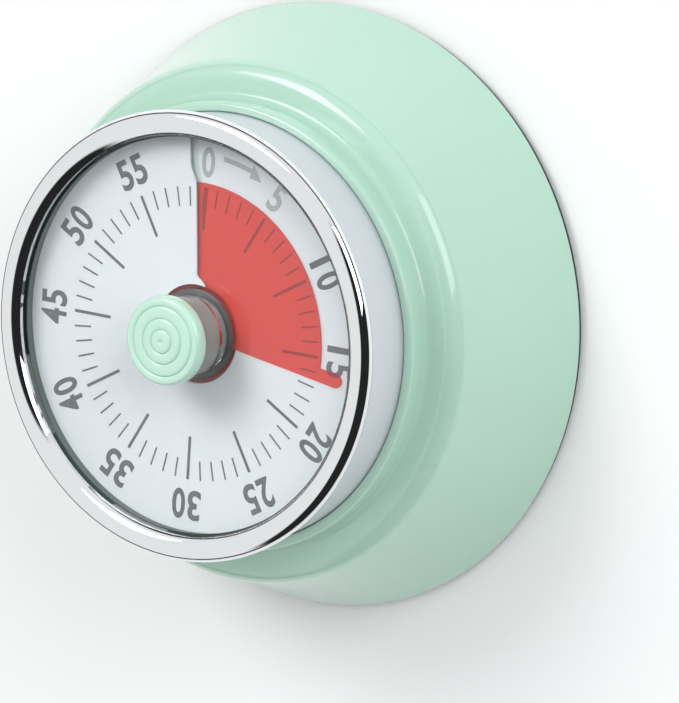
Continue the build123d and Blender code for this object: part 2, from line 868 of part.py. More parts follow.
with BuildPart() as click_pawl:
    with BuildSketch(Plane.XY.offset(ratchet_z + 0.1)):
        with Locations(nose_at):
            Circle(0.15)
        with Locations(click_at):
            Circle(click_boss)
        make_hull()
        with Locations(click_at):
            Circle(click_pin_radius + running_gap, mode=Mode.SUBTRACT)
    extrude(amount=ratchet_sheet - 0.2)
save(click_pawl, "click_pawl")

with BuildPart() as click_screw:
    add(disc_at(click_pin_radius, ratchet_z, great_z - ratchet_z, click_at))
    add(disc_at(click_boss + 0.1, ratchet_z - 0.35, 0.35, click_at))
save(click_screw, "click_screw")

# ================================================================ mainspring
with BuildPart() as mainspring:
    steps = 24
    path = []
    for step in range(spring_turns * steps + 1):
        share = step / (spring_turns * steps)
        path.append(
            polar(spring_inner + (spring_outer - spring_inner) * share, 60.0 + 360 * spring_turns * share)
        )
    with BuildSketch(Plane.XY.offset(spring_z)):
        with BuildLine():
            inner_side = Spline(*path)
            outer_side = Spline(
                *[
                    polar(hypot(*point) + spring_strip, direction_of(main_at, point))
                    for point in path
                ]
            )
            Line(inner_side @ 0, outer_side @ 0)
            Line(inner_side @ 1, outer_side @ 1)
        make_face()
    extrude(amount=spring_height)
save(mainspring, "mainspring")

with BuildPart() as spring_post:
    add(disc_at(spring_post_radius, plate_floor_z, spring_height + 1.0, spring_end_at))
save(spring_post, "spring_post")

# ================================================================ strike work
with BuildPart() as strike_cam:
    notch_at = direction_of(main_at, tail_at) - time_at_rest * 6.0 - 12.0
    with BuildSketch(Plane.XY.offset(cam_z)):
        Circle(cam_radius)
        with Locations(Location((0, 0, 0), (0, 0, notch_at))):
            with Locations((cam_radius, 0)):
                Rectangle(2 * cam_notch, 1.6, mode=Mode.SUBTRACT)
        Circle(main_arbor_radius + seat_gap, mode=Mode.SUBTRACT)
    extrude(amount=cam_sheet)
save(strike_cam, "strike_cam")

with BuildPart() as hammer_arbor:
    add(disc_at(hammer_arbor_radius, hammer_z, ledge_z - end_shake - hammer_z, hammer_at))
save(hammer_arbor, "hammer_arbor")

with BuildPart() as hammer_tail:
    add(link(hammer_at, tail_at, hammer_arm, cam_z, cam_sheet))
    add(disc_at(1.1, cam_z - 0.6, cam_sheet + 0.6, hammer_at))
    add(
        disc_at(hammer_arbor_radius + seat_gap, cam_z - 0.6, cam_sheet + 0.6, hammer_at),
        mode=Mode.SUBTRACT,
    )
save(hammer_tail, "hammer_tail")

with BuildPart() as hammer_arm_bar:
    add(link(hammer_at, head_at, hammer_arm, hammer_z, hammer_sheet))
    add(
        disc_at(hammer_arbor_radius + seat_gap, hammer_z, hammer_sheet, hammer_at),
        mode=Mode.SUBTRACT,
    )
save(hammer_arm_bar, "hammer_arm")

with BuildPart() as hammer_head:
    add(disc_at(hammer_head_radius, hammer_z - hammer_head_height, hammer_head_height, head_at))
save(hammer_head, "hammer_head")

with BuildPart() as hammer_spring:
    coil_radius = 1.15
    wire_radius = 0.16
    coil_pitch = 0.45
    coil_z = plate_floor_z + 1.2
    with BuildLine(Plane.XY.offset(coil_z)):
        coil = Helix(pitch=coil_pitch, height=coil_pitch * 5, radius=coil_radius)
    with BuildSketch(Plane.XZ):
        with Locations((coil_radius, coil_z)):
            Circle(wire_radius)
    sweep(path=coil, is_frenet=True)
hammer_spring.part = hammer_spring.part.translate((hammer_x, hammer_y, 0))
save(hammer_spring, "hammer_spring")

# The gong is a shallow bell with its mouth towards the back.
with BuildPart() as gong:
    with BuildSketch(Plane.XZ) as section:
        with BuildLine():
            Polyline(
                (0, gong_top_z), (gong_radius, gong_top_z), (gong_radius, gong_bottom_z),
                (gong_radius - gong_wall, gong_bottom_z),
                (gong_radius - gong_wall, gong_top_z - gong_wall), (0, gong_top_z - gong_wall),
                close=True,
            )
        make_face()
        for at, rounding in (
            ((gong_radius, gong_top_z), gong_round),
            ((gong_radius - gong_wall, gong_top_z - gong_wall), gong_round - gong_wall),
        ):
            fillet(section.vertices().sort_by_distance((at[0], at[1], 0))[0], rounding)
    revolve(axis=Axis.Z)
    post_neck = 1.2
    add(
        disc_at(post_neck + seat_gap, gong_top_z - gong_wall, gong_wall),
        mode=Mode.SUBTRACT,
    )
gong.part = gong.part.translate((gong_x, 0, 0))
save(gong, "gong")

with BuildPart() as gong_post:
    add(disc_at(2.2, gong_top_z, back_plate_z - gong_top_z, gong_at))
    add(disc_at(post_neck, gong_top_z - 2.2, 2.2, gong_at))
save(gong_post, "gong_post")

with BuildPart() as gong_nut:
    with BuildSketch(Plane.XY.offset(gong_top_z - gong_wall - 1.2)):
        with Locations(gong_at):
            RegularPolygon(2.3, 6)
            Circle(post_neck + seat_gap, mode=Mode.SUBTRACT)
    extrude(amount=1.2)
save(gong_nut, "gong_nut")

# ================================================================ plates
bearings = [
    (main_at, main_pivot_radius, main_arbor_radius),
    (second_at, pivot_radius, pivot_radius),
    (third_at, pivot_radius, pivot_radius),
    (escape_at, pivot_radius, pivot_radius),
    (pallet_at, pivot_radius, pivot_radius),
    (hammer_at, hammer_arbor_radius, hammer_arbor_radius),
]
for name, bottom, which in (("back_plate", back_plate_z, 1), ("front_plate", front_plate_z, 2)):
    with BuildPart() as plate:
        with BuildSketch(Plane.XY.offset(bottom)):
            Circle(plate_radius)
            for bearing in bearings:
                with Locations(bearing[0]):
                    Circle(bearing[which] + running_gap, mode=Mode.SUBTRACT)
            with PolarLocations(pillar_circle, pillar_count, start_angle=pillar_angle):
                Circle(stud_radius + seat_gap, mode=Mode.SUBTRACT)
            if which == 2:
                with PolarLocations(lug_screw_circle, lug_screw_count, start_angle=lug_screw_angle):
                    Circle(screw_shank + seat_gap, mode=Mode.SUBTRACT)
        extrude(amount=plate_height)
    save(plate, name)

with BuildPart() as pillars:
    with BuildSketch(Plane.XY.offset(plate_floor_z)):
        with PolarLocations(pillar_circle, pillar_count, start_angle=pillar_angle):
            Circle(pillar_radius)
    extrude(amount=plate_spacing)
    with BuildSketch(Plane.XY.offset(back_plate_z - nut_height)):
        with PolarLocations(pillar_circle, pillar_count, start_angle=pillar_angle):
            Circle(stud_radius)
    extrude(amount=plate_spacing + 2 * plate_height + nut_height)
save(pillars, "pillars")

with BuildPart() as pillar_nuts:
    with BuildSketch(Plane.XY.offset(back_plate_z - nut_height)):
        with PolarLocations(pillar_circle, pillar_count, start_angle=pillar_angle):
            RegularPolygon(nut_radius, 6)
            Circle(stud_radius + seat_gap, mode=Mode.SUBTRACT)
    extrude(amount=nut_height)
save(pillar_nuts, "pillar_nuts")

with BuildPart() as movement_screws:
    for corner in range(lug_screw_count):
        at = polar(lug_screw_circle, lug_screw_angle + corner * 360 / lug_screw_count)
        reach = plate_height + ledge_height + 0.9
        add(screw(at, front_plate_z - 0.7, 1.2, 0.7, screw_shank, reach, 1, False))
save(movement_screws, "movement_screws")
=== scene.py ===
"""Wind-up kitchen timer, built round its CAD frame as a small Blender add-on.

Metres, in the frame of the CAD part: +Z runs from the timer's back to its face,
the back rests on z = 0, and the dial's 0 mark points along +Y. Each operator in
the sidebar panel makes one piece or one group of like pieces.
"""

import math

import bpy
import numpy as np
from mathutils import Matrix, Vector


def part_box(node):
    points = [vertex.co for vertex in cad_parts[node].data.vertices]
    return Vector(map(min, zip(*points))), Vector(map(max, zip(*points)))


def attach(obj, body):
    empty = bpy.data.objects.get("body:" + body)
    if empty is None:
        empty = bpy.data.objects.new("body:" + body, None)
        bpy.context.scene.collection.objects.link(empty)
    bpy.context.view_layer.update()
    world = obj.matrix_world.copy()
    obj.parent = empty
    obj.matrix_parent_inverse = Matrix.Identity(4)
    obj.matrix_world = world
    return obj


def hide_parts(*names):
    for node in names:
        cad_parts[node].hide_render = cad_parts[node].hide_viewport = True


bl_info = {
    "name": "Kitchen Timer Builder",
    "version": (1, 0, 0),
    "blender": (4, 5, 0),
    "location": "View3D > Sidebar > Timer",
    "description": "Builds the shells, dial, knob and finishes of a wind-up kitchen timer",
    "category": "Object",
}

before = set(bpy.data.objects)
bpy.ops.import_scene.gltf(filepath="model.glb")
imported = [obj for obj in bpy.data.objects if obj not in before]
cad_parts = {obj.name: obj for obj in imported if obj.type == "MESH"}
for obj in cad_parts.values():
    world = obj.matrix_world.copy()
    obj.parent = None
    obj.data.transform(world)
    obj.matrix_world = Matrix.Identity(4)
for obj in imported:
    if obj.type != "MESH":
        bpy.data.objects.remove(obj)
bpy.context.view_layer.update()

MM = 0.001
AROUND = 256            # faces round a turned piece
LAYER = 0.02 * MM       # height of printed ink


def low(node):
    """Height of a CAD node's lowest point."""
    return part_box(node)[0].z


def high(node):
    """Height of a CAD node's highest point."""
    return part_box(node)[1].z


def radius_of(node):
    """Largest radius of a CAD node that is centred on the timer's axis."""
    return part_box(node)[1].x


BASE_RADIUS = radius_of("housing_shell")
FOOT_Z = low("housing_shell")
COLLAR_Z = high("housing_shell")
DRUM_RADIUS = 24.75 * MM
DRUM_TOP_Z = high("face_drum")
BEZEL_RADIUS = radius_of("bezel_ring")
BEZEL_TOP_Z = high("bezel_ring")
BEZEL_FOOT_Z = low("bezel_ring")
LENS_RADIUS = radius_of("lens")
LENS_LOW_Z = low("lens")
LENS_HIGH_Z = high("lens")
DIAL_RADIUS = 22.75 * MM
DISC_OUTER = 17.4 * MM
RAMP_RISE = 0.5 * MM
DIAL_SHEET = 0.2 * MM
DISC_SHEET = 0.1 * MM
RAMP_GAP = 0.1 * MM
DIAL_LOW_Z = DRUM_TOP_Z - 2.53 * MM
DISC_LOW_Z = DIAL_LOW_Z + RAMP_GAP + DISC_SHEET
LEAD_DEGREES = 99.0
DISC_SPAN = 352.0
STEM_RADIUS = radius_of("knob_stem")
CAP_RADIUS = 5.2 * MM
CAP_LOW_Z = low("knob_cap")
CAP_HIGH_Z = high("knob_cap")
CAP_GROOVES = (4.05 * MM, 2.63 * MM, 1.39 * MM, 0.16 * MM)   # radii, the last is the dimple's
GROOVE_DEPTH = 0.23 * MM
RING_STEP = 0.13 * MM       # rise from one groove to the next
CAP_ROLL = 0.25 * MM        # how far the cap's top edge rolls in
CAP_TUCK = 0.7 * MM         # how far its skirt tucks in underneath
CAP_SKIRT = 0.72 * MM       # height of the skirt
ARBOR_BORE = 1.52 * MM      # hole for the main arbor in stem and cap
SLIT_LEFT = (0.1 * MM, 0.97 * MM, 1.85 * MM, 2.3 * MM)   # from the 0 line, hub to rim
KEY_AT, KEY_SIZE = (-0.30, 0.42, 0.62), 0.34
FILL_AT, FILL_SIZE = (0.62, 0.40, 0.50), 0.5
FLOOR_REACH = 3.0
MINUTE = 6.0                # degrees of dial for one minute
ZERO_WIDTH = 0.6 * MM       # width of the 0 tick, then its lean from hub to rim
ZERO_LEAN = (-0.06 * MM, 0.15 * MM)
ZERO_SHIFT = 0.25 * MM      # the figure 0 stands this far past the 0 line
ONE_SHARE = 0.42            # width of the digit 1 as a share of the others
ARROW_SPAN = (6.5, 17.6, 22.4)      # degrees where its shaft starts, its head starts and ends
ARROW_HALF, HEAD_HALF, HEAD_DROOP = 0.28 * MM, 0.82 * MM, 0.55 * MM


# ------------------------------------------------------------------ surfaces
def make_mesh(name, points, faces, sharp_degrees=32.0):
    """Put whole arrays of points and quads or triangles into a new object."""
    mesh = bpy.data.meshes.new(name)
    mesh.from_pydata(points.reshape(-1, 3).tolist(), [], faces)
    mesh.update()
    mesh.shade_smooth()
    mesh.set_sharp_from_angle(angle=math.radians(sharp_degrees))
    piece = bpy.data.objects.new(name, mesh)
    bpy.context.collection.objects.link(piece)
    return piece


def quads(index):
    """Faces between neighbouring rows and columns of an index grid.

    Where a whole row is one point, its quads become triangles.
    """
    a, b = index[:-1, :-1], index[1:, :-1]
    c, d = index[1:, 1:], index[:-1, 1:]
    cells = np.stack([a, b, c, d], axis=-1).reshape(-1, 4)
    flat_low = cells[:, 0] == cells[:, 3]
    flat_high = cells[:, 1] == cells[:, 2]
    whole = cells[~(flat_low | flat_high)].tolist()
    fans = cells[flat_low][:, [0, 1, 2]].tolist() + cells[flat_high][:, [0, 1, 3]].tolist()
    return whole + fans


def rounded(corners, steps=8):
    """An outline with filleted corners, as an array of (radius, height) rows.

    corners holds (radius, height, fillet). Each fillet is the arc that touches
    both edges: its centre lies on the bisector at fillet / sin(half the angle).
    """
    rows = []
    count = len(corners)
    for number, (x, z, fillet) in enumerate(corners):
        here = np.array([x, z])
        if fillet <= 0:
            rows.append(here[None])
            continue
        before = np.array(corners[number - 1][:2]) - here
        after = np.array(corners[(number + 1) % count][:2]) - here
        before /= np.linalg.norm(before)
        after /= np.linalg.norm(after)
        half = 0.5 * math.acos(float(np.clip(before @ after, -1, 1)))
        bisector = (before + after) / np.linalg.norm(before + after)
        centre = here + bisector * fillet / math.sin(half)
        start = here + before * fillet / math.tan(half) - centre
        end = here + after * fillet / math.tan(half) - centre
        first = math.atan2(start[1], start[0])
        turn = (math.atan2(end[1], end[0]) - first + math.pi) % (2 * math.pi) - math.pi
        angles = first + turn * np.linspace(0, 1, steps + 1)
        rows.append(centre + fillet * np.stack([np.cos(angles), np.sin(angles)], axis=1))
    return np.concatenate(rows)


def arc_through(start, middle, end, steps):
    """Rows on the circle through three points: its centre is as far from each of them."""
    first, second, third = (np.array(point, float) for point in (start, middle, end))
    squares = np.array([second @ second - first @ first, third @ third - first @ first])
    centre = np.linalg.solve(2 * np.stack([second - first, third - first]), squares)
    reach = np.linalg.norm(first - centre)
    low_angle = math.atan2(first[1] - centre[1], first[0] - centre[0])
    high_angle = math.atan2(third[1] - centre[1], third[0] - centre[0])
    turn = (high_angle - low_angle + math.pi) % (2 * math.pi) - math.pi
    angles = low_angle + turn * np.linspace(0, 1, steps + 1)
    return centre + reach * np.stack([np.cos(angles), np.sin(angles)], axis=1)


def turned(name, outline, around=AROUND, centre=(0.0, 0.0), sharp_degrees=32.0):
    """A surface of revolution: radius and height from the outline, angle from the turn.

    The outline runs anticlockwise in the (radius, height) plane, so that the
    faces point outwards. Rows on the axis become one point.
    """
    outline = np.asarray(outline, float)
    rows = len(outline)
    angles = np.arange(around) * 2 * np.pi / around
    radius, height = outline[:, :1], outline[:, 1:]
    points = np.stack(
        [
            centre[0] + radius * np.cos(angles),
            centre[1] + radius * np.sin(angles),
            height + 0 * angles,
        ],
        axis=-1,
    )
    index = np.arange(rows * around).reshape(rows, around)
    on_axis = outline[:, 0] < 1e-9
    index[on_axis] = index[on_axis][:, :1]
    if not (on_axis[0] and on_axis[-1]):
        index = np.concatenate([index, index[:1]])
    index = np.concatenate([index, index[:, :1]], axis=1)
    used, flat = np.unique(index, return_inverse=True)
    points = points.reshape(-1, 3)[used]
    index = flat.reshape(index.shape)
    faces = [face[::-1] for face in quads(index)]
    return make_mesh(name, points, faces, sharp_degrees)


def slab(name, top, thickness, sharp_degrees=32.0):
    """A closed sheet: the top grid, the same grid lowered, and a wall round its edge."""
    rows, columns = top.shape[:2]
    bottom = top - np.array([0, 0, thickness])
    points = np.concatenate([top.reshape(-1, 3), bottom.reshape(-1, 3)])
    index = np.arange(rows * columns).reshape(rows, columns)
    under = index + rows * columns
    rim = np.concatenate([index[0, :-1], index[:-1, -1], index[-1, :0:-1], index[:0:-1, 0]])
    rim_under = rim + rows * columns
    wall = np.stack(
        [rim, np.roll(rim, -1), np.roll(rim_under, -1), rim_under], axis=1
    )
    faces = quads(index) + [face[::-1] for face in quads(under)] + wall.tolist()
    return make_mesh(name, points, faces, sharp_degrees)


def ramp_height(clockwise, start_z):
    """Height of the dial's ramp at an angle in degrees clockwise from the 0 mark."""
    return start_z + RAMP_RISE * clockwise / 360.0


def ramp_grid(radius, clockwise, start_z):
    """Points on the ramp, from arrays of radius and of degrees clockwise from +Y."""
    angle = np.radians(clockwise)
    return np.stack(
        [radius * np.sin(angle), radius * np.cos(angle), ramp_height(clockwise, start_z)],
        axis=-1,
    )


def smooth_step(value, start, end):
    """0 before start, 1 after end, and 3t^2 - 2t^3 between them."""
    t = np.clip((value - start) / (end - start), 0, 1)
    return t * t * (3 - 2 * t)


def set_material(piece, material):
    """Give a piece or a CAD node one material."""
    piece.data.materials.clear()
    piece.data.materials.append(material)


def settle(piece, body, slot, material, *stands_for):
    """Finish a new piece: its material, its body and the CAD nodes it replaces; the slot argument
    is not used.
    """
    set_material(piece, material)
    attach(piece, body)
    if stands_for:
        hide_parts(*stands_for)
    return piece


# ------------------------------------------------------------------ shader groups
def new_group(name, inputs, outputs):
    """An empty shader group with named float, colour or vector sockets."""
    tree = bpy.data.node_groups.new(name, "ShaderNodeTree")
    for kind, label, default in inputs:
        socket = tree.interface.new_socket(label, in_out="INPUT", socket_type="NodeSocket" + kind)
        if default is not None:
            socket.default_value = default
    for kind, label in outputs:
        tree.interface.new_socket(label, in_out="OUTPUT", socket_type="NodeSocket" + kind)
    start = tree.nodes.new("NodeGroupInput")
    end = tree.nodes.new("NodeGroupOutput")
    return tree, start.outputs, end.inputs


def node(tree, kind, values=None, **settings):
    """A node with its settings and plain socket values."""
    made = tree.nodes.new(kind)
    for key, value in settings.items():
        setattr(made, key, value)
    for key, value in (values or {}).items():
        made.inputs[key].default_value = value
    return made


def math_node(tree, operation, first, second=None):
    """A Math node; each operand is a socket or a number."""
    made = node(tree, "ShaderNodeMath", operation=operation)
    for number, operand in enumerate((first, second)):
        if operand is None:
            continue
        if isinstance(operand, (int, float)):
            made.inputs[number].default_value = operand
        else:
            tree.links.new(operand, made.inputs[number])
    return made.outputs[0]


def shade(tree, colour, factor, amount):
    """Lightens or darkens a colour by a factor centred on 0."""
    scaled = math_node(tree, "MULTIPLY", factor, amount)
    lit = math_node(tree, "ADD", scaled, 1.0)
    mixed = node(tree, "ShaderNodeVectorMath", operation="SCALE")
    tree.links.new(colour, mixed.inputs[0])
    tree.links.new(lit, mixed.inputs["Scale"])
    return mixed.outputs[0]


def noise(tree, place, scale, detail=2.0, roughness=0.5):
    """Noise of a scale, centred on 0."""
    made = node(tree, "ShaderNodeTexNoise", {"Detail": detail, "Roughness": roughness})
    tree.links.new(place, made.inputs["Vector"])
    if isinstance(scale, (int, float)):
        made.inputs["Scale"].default_value = scale
    else:
        tree.links.new(scale, made.inputs["Scale"])
    return math_node(tree, "SUBTRACT", made.outputs["Fac"], 0.5)


COLOURED = (("Vector", "Place", None), ("Color", "Colour", (1, 1, 1, 1)))
SURFACE = (("Color", "Colour"), ("Float", "Roughness"), ("Float", "Height"))


def floats(**defaults):
    """Float sockets from labels and defaults; an underscore stands for a space."""
    return tuple(("Float", label.replace("_", " "), value) for label, value in defaults.items())


def wear(tree, given, out, rough, spread, height, tone=None, amount=None):
    """Lead three patterns to a group's colour, roughness and height outputs."""
    if tone is not None:
        tree.links.new(shade(tree, given["Colour"], tone, given[amount]), out["Colour"])
    scaled = math_node(tree, "MULTIPLY", rough, given[spread])
    tree.links.new(math_node(tree, "ADD", scaled, given["Gloss"]), out["Roughness"])
    tree.links.new(height, out["Height"])
    return tree


def lacquer_group():
    """Sprayed film: faint colour mottle, orange peel and rubbed patches."""
    sockets = COLOURED + floats(Mottle=0.05, Gloss=0.2, Rub=0.06, Peel_scale=900.0)
    tree, given, out = new_group("Sprayed film", sockets, SURFACE)
    broad = noise(tree, given["Place"], 60.0, 3.0)
    patch = noise(tree, given["Place"], 140.0, 4.0, 0.6)
    peel = noise(tree, given["Place"], given["Peel scale"], 1.5)
    return wear(tree, given, out, patch, "Rub", peel, broad, "Mottle")


def grain_group():
    """Moulded or ground surface: fine speckle in colour, roughness and height."""
    sockets = COLOURED + floats(Scale=2500.0, Speckle=0.1, Gloss=0.4, Spread=0.1)
    tree, given, out = new_group("Fine grain", sockets, SURFACE)
    fine = noise(tree, given["Place"], given["Scale"], 3.0, 0.6)
    broad = noise(tree, given["Place"], 90.0, 3.0)
    both = math_node(tree, "ADD", fine, broad)
    return wear(tree, given, out, both, "Spread", fine, both, "Speckle")


def lathe_group():
    """Turned metal: rings whose spacing is the distance from an axis along Z."""
    sockets = COLOURED + floats(Ring_scale=9000.0, Tone=0.08, Gloss=0.25, Spread=0.12)
    tree, given, out = new_group("Turned rings", sockets, SURFACE)
    split = node(tree, "ShaderNodeSeparateXYZ")
    tree.links.new(given["Place"], split.inputs[0])
    across = math_node(tree, "MULTIPLY", split.outputs["X"], split.outputs["X"])
    along = math_node(tree, "MULTIPLY", split.outputs["Y"], split.outputs["Y"])
    distance = math_node(tree, "SQRT", math_node(tree, "ADD", across, along))
    reach = math_node(tree, "ADD", distance, split.outputs["Z"])
    rings = node(tree, "ShaderNodeTexNoise", {"Detail": 3.0}, noise_dimensions="1D")
    tree.links.new(reach, rings.inputs["W"])
    tree.links.new(given["Ring scale"], rings.inputs["Scale"])
    line = math_node(tree, "SUBTRACT", rings.outputs["Fac"], 0.5)
    patch = noise(tree, given["Place"], 220.0, 3.0)
    both = math_node(tree, "ADD", line, patch)
    return wear(tree, given, out, both, "Spread", line, both, "Tone")


def brushed_group():
    """Stamped sheet: long scratches along X, with tarnish in broad patches."""
    sockets = COLOURED + floats(Scale=4000.0, Tarnish=0.2, Gloss=0.3, Spread=0.15)
    tree, given, out = new_group("Brushed sheet", sockets, SURFACE)
    squeeze = node(tree, "ShaderNodeVectorMath", {1: (0.03, 1.0, 1.0)}, operation="MULTIPLY")
    tree.links.new(given["Place"], squeeze.inputs[0])
    scratch = noise(tree, squeeze.outputs[0], given["Scale"], 3.0)
    patch = noise(tree, given["Place"], 180.0, 4.0, 0.6)
    both = math_node(tree, "ADD", scratch, patch)
    return wear(tree, given, out, both, "Spread", scratch, patch, "Tarnish")


def handled_group():
    """Finger marks and dust: soft smudges that raise the roughness in places."""
    sockets = COLOURED[:1] + floats(Gloss=0.03, Marks=0.08, Scale=120.0)
    tree, given, out = new_group("Finger marks", sockets, SURFACE[1:])
    cloud = noise(tree, given["Place"], given["Scale"], 5.0, 0.65)
    lifted = math_node(tree, "MAXIMUM", cloud, 0.0)
    return wear(tree, given, out, lifted, "Marks", cloud)


GROUP_BUILDERS = {
    "film": lacquer_group, "grain": grain_group, "rings": lathe_group,
    "brushed": brushed_group, "marks": handled_group,
}


def group_tree(kind):
    """The shared shader group of a kind, built the first time it is asked for."""
    label = "timer_" + kind
    if label not in bpy.data.node_groups:
        GROUP_BUILDERS[kind]().name = label
    return bpy.data.node_groups[label]


def finish_material(name, kind, colour, effect, bump=0.0, plain=None):
    """A material: one effect group on object coordinates feeding a Principled shader."""
    material = bpy.data.materials.new(name)
    material.use_nodes = True
    tree = material.node_tree
    shader = tree.nodes["Principled BSDF"]
    for key, value in (plain or {}).items():
        shader.inputs[key].default_value = value
    place = node(tree, "ShaderNodeTexCoord")
    group = node(tree, "ShaderNodeGroup", node_tree=group_tree(kind))
    tree.links.new(place.outputs["Object"], group.inputs["Place"])
    for key, value in effect.items():
        group.inputs[key].default_value = value
    if "Colour" in group.outputs:
        group.inputs["Colour"].default_value = (*colour, 1.0)
        tree.links.new(group.outputs["Colour"], shader.inputs["Base Color"])
    else:
        shader.inputs["Base Color"].default_value = (*colour, 1.0)
    tree.links.new(group.outputs["Roughness"], shader.inputs["Roughness"])
    if bump:
        relief = node(tree, "ShaderNodeBump", {"Strength": 1.0, "Distance": bump * MM})
        tree.links.new(group.outputs["Height"], relief.inputs["Height"])
        tree.links.new(relief.outputs["Normal"], shader.inputs["Normal"])
    return material


def look(name):
    """The finished material of a name, made from its recipe below when first used."""
    label = "timer " + name
    if label in bpy.data.materials:
        return bpy.data.materials[label]
    kind, colour, effect, bump, plain = RECIPES[name]
    if isinstance(colour, str):
        colour = getattr(bpy.context.scene.timer_colours, colour)
    material = finish_material(label, kind, colour, effect, bump, plain)
    if name in SEE_THROUGH:
        hide_from_shadows(material)
    return material


def hide_from_shadows(material):
    """Shadow rays pass straight through; other rays still see the whole surface."""
    tree = material.node_tree
    path = node(tree, "ShaderNodeLightPath")
    seen = math_node(tree, "SUBTRACT", 1.0, path.outputs["Is Shadow Ray"])
    tree.links.new(seen, tree.nodes["Principled BSDF"].inputs["Alpha"])


METAL = {"Metallic": 1.0}
SEE_THROUGH = ("clear_acrylic", "stem_acrylic", "disc_red")
RECIPES = {
    "mint_lacquer": (
        "film", "mint", {"Mottle": 0.05, "Gloss": 0.2, "Rub": 0.05}, 0.004,
        {"Coat Weight": 0.6, "Coat Roughness": 0.06, "IOR": 1.5},
    ),
    "silver_paint": (
        "film", "silver", {"Mottle": 0.04, "Gloss": 0.36, "Rub": 0.08}, 0.003, {"Metallic": 0.35}
    ),
    "chrome_plate": ("marks", "chrome", {"Gloss": 0.035, "Marks": 0.1}, 0.0, METAL),
    "clear_acrylic": (
        "marks", (0.97, 0.99, 0.985), {"Gloss": 0.0, "Marks": 0.03, "Scale": 150.0}, 0.0,
        {"Transmission Weight": 1.0, "IOR": 1.46},
    ),
    # Painted shade: the clear stem's colour is a dull grey, with part of its light made diffuse, to
    # stand in for the grey reflections it shows.
    "stem_acrylic": (
        "marks", (0.62, 0.64, 0.61), {"Gloss": 0.04, "Marks": 0.05, "Scale": 150.0}, 0.0,
        {"Transmission Weight": 0.62, "IOR": 1.46},
    ),
    "dial_white": ("grain", "dial", {"Speckle": 0.025, "Gloss": 0.8, "Spread": 0.1}, 0.0015, {}),
    "dial_ink": ("grain", "ink", {"Speckle": 0.15, "Gloss": 0.55, "Spread": 0.1}, 0.001, {}),
    # Painted shadow: the strip beside the slit, where the high flap's edge shades the low flap.
    "slit_shade": ("grain", "slit", {"Speckle": 0.05, "Gloss": 0.6, "Spread": 0.1}, 0.001, {}),
    # Painted reflection: the 0, the arrow and the 5 use this paler grey to stand in for the lens's
    # reflection over them, not for wear.
    "painted_glare_ink": ("grain", "faded", {"Speckle": 0.1, "Gloss": 0.55, "Spread": 0.1}, 0.001, {}),
    "disc_red": (
        "film", "red", {"Mottle": 0.05, "Gloss": 0.05, "Rub": 0.02}, 0.0,
        {"Transmission Weight": 0.88, "IOR": 1.3},
    ),
    "black_plastic": ("grain", (0.022, 0.023, 0.025), {"Speckle": 0.25, "Gloss": 0.5}, 0.012, {}),
    # Painted shade: dark green grey for the shade and greenish reflection in the recess round the
    # dial.
    "seat_plastic_painted_shade": ("grain", "seat", {"Speckle": 0.15, "Gloss": 0.5}, 0.006, {}),
    "grey_plastic": ("grain", (0.07, 0.07, 0.075), {"Speckle": 0.2, "Gloss": 0.38}, 0.006, {}),
    "mint_plastic": (
        "film", "knob", {"Mottle": 0.03, "Gloss": 0.18, "Rub": 0.05}, 0.003,
        {"Coat Weight": 0.8, "Coat Roughness": 0.06, "Subsurface Weight": 0.05},
    ),
    "rubber_black": (
        "grain", (0.02, 0.02, 0.021), {"Speckle": 0.35, "Gloss": 0.75, "Scale": 1800.0}, 0.02, {}
    ),
    "magnet_ferrite": (
        "grain", (0.34, 0.34, 0.35), {"Speckle": 0.2, "Gloss": 0.3}, 0.006, {"Metallic": 0.9}
    ),
    "screw_steel": ("rings", (0.5, 0.5, 0.52), {"Tone": 0.2, "Gloss": 0.28}, 0.002, METAL),
    "plate_brass": ("brushed", (0.70, 0.52, 0.22), {"Tarnish": 0.35, "Gloss": 0.32}, 0.003, METAL),
    "wheel_brass": ("rings", (0.78, 0.60, 0.27), {"Tone": 0.15, "Gloss": 0.24}, 0.002, METAL),
    "arbor_steel": ("rings", (0.56, 0.56, 0.58), {"Tone": 0.15, "Gloss": 0.22}, 0.001, METAL),
    "spring_steel": (
        "brushed", (0.14, 0.17, 0.27), {"Tarnish": 0.5, "Gloss": 0.28}, 0.001, METAL
    ),
    "gong_steel": ("rings", (0.66, 0.66, 0.67), {"Tone": 0.1, "Gloss": 0.16}, 0.002, METAL),
}


# ------------------------------------------------------------------ settings
def length(label, words, default, **limits):
    """A length in metres that a user can change."""
    return bpy.props.FloatProperty(
        name=label, description=words, default=default, unit="LENGTH", precision=5, **limits
    )


def colour(label, words, default):
    """A plain colour that a user can change."""
    return bpy.props.FloatVectorProperty(
        name=label, description=words, default=default, subtype="COLOR", size=3, min=0, max=1
    )


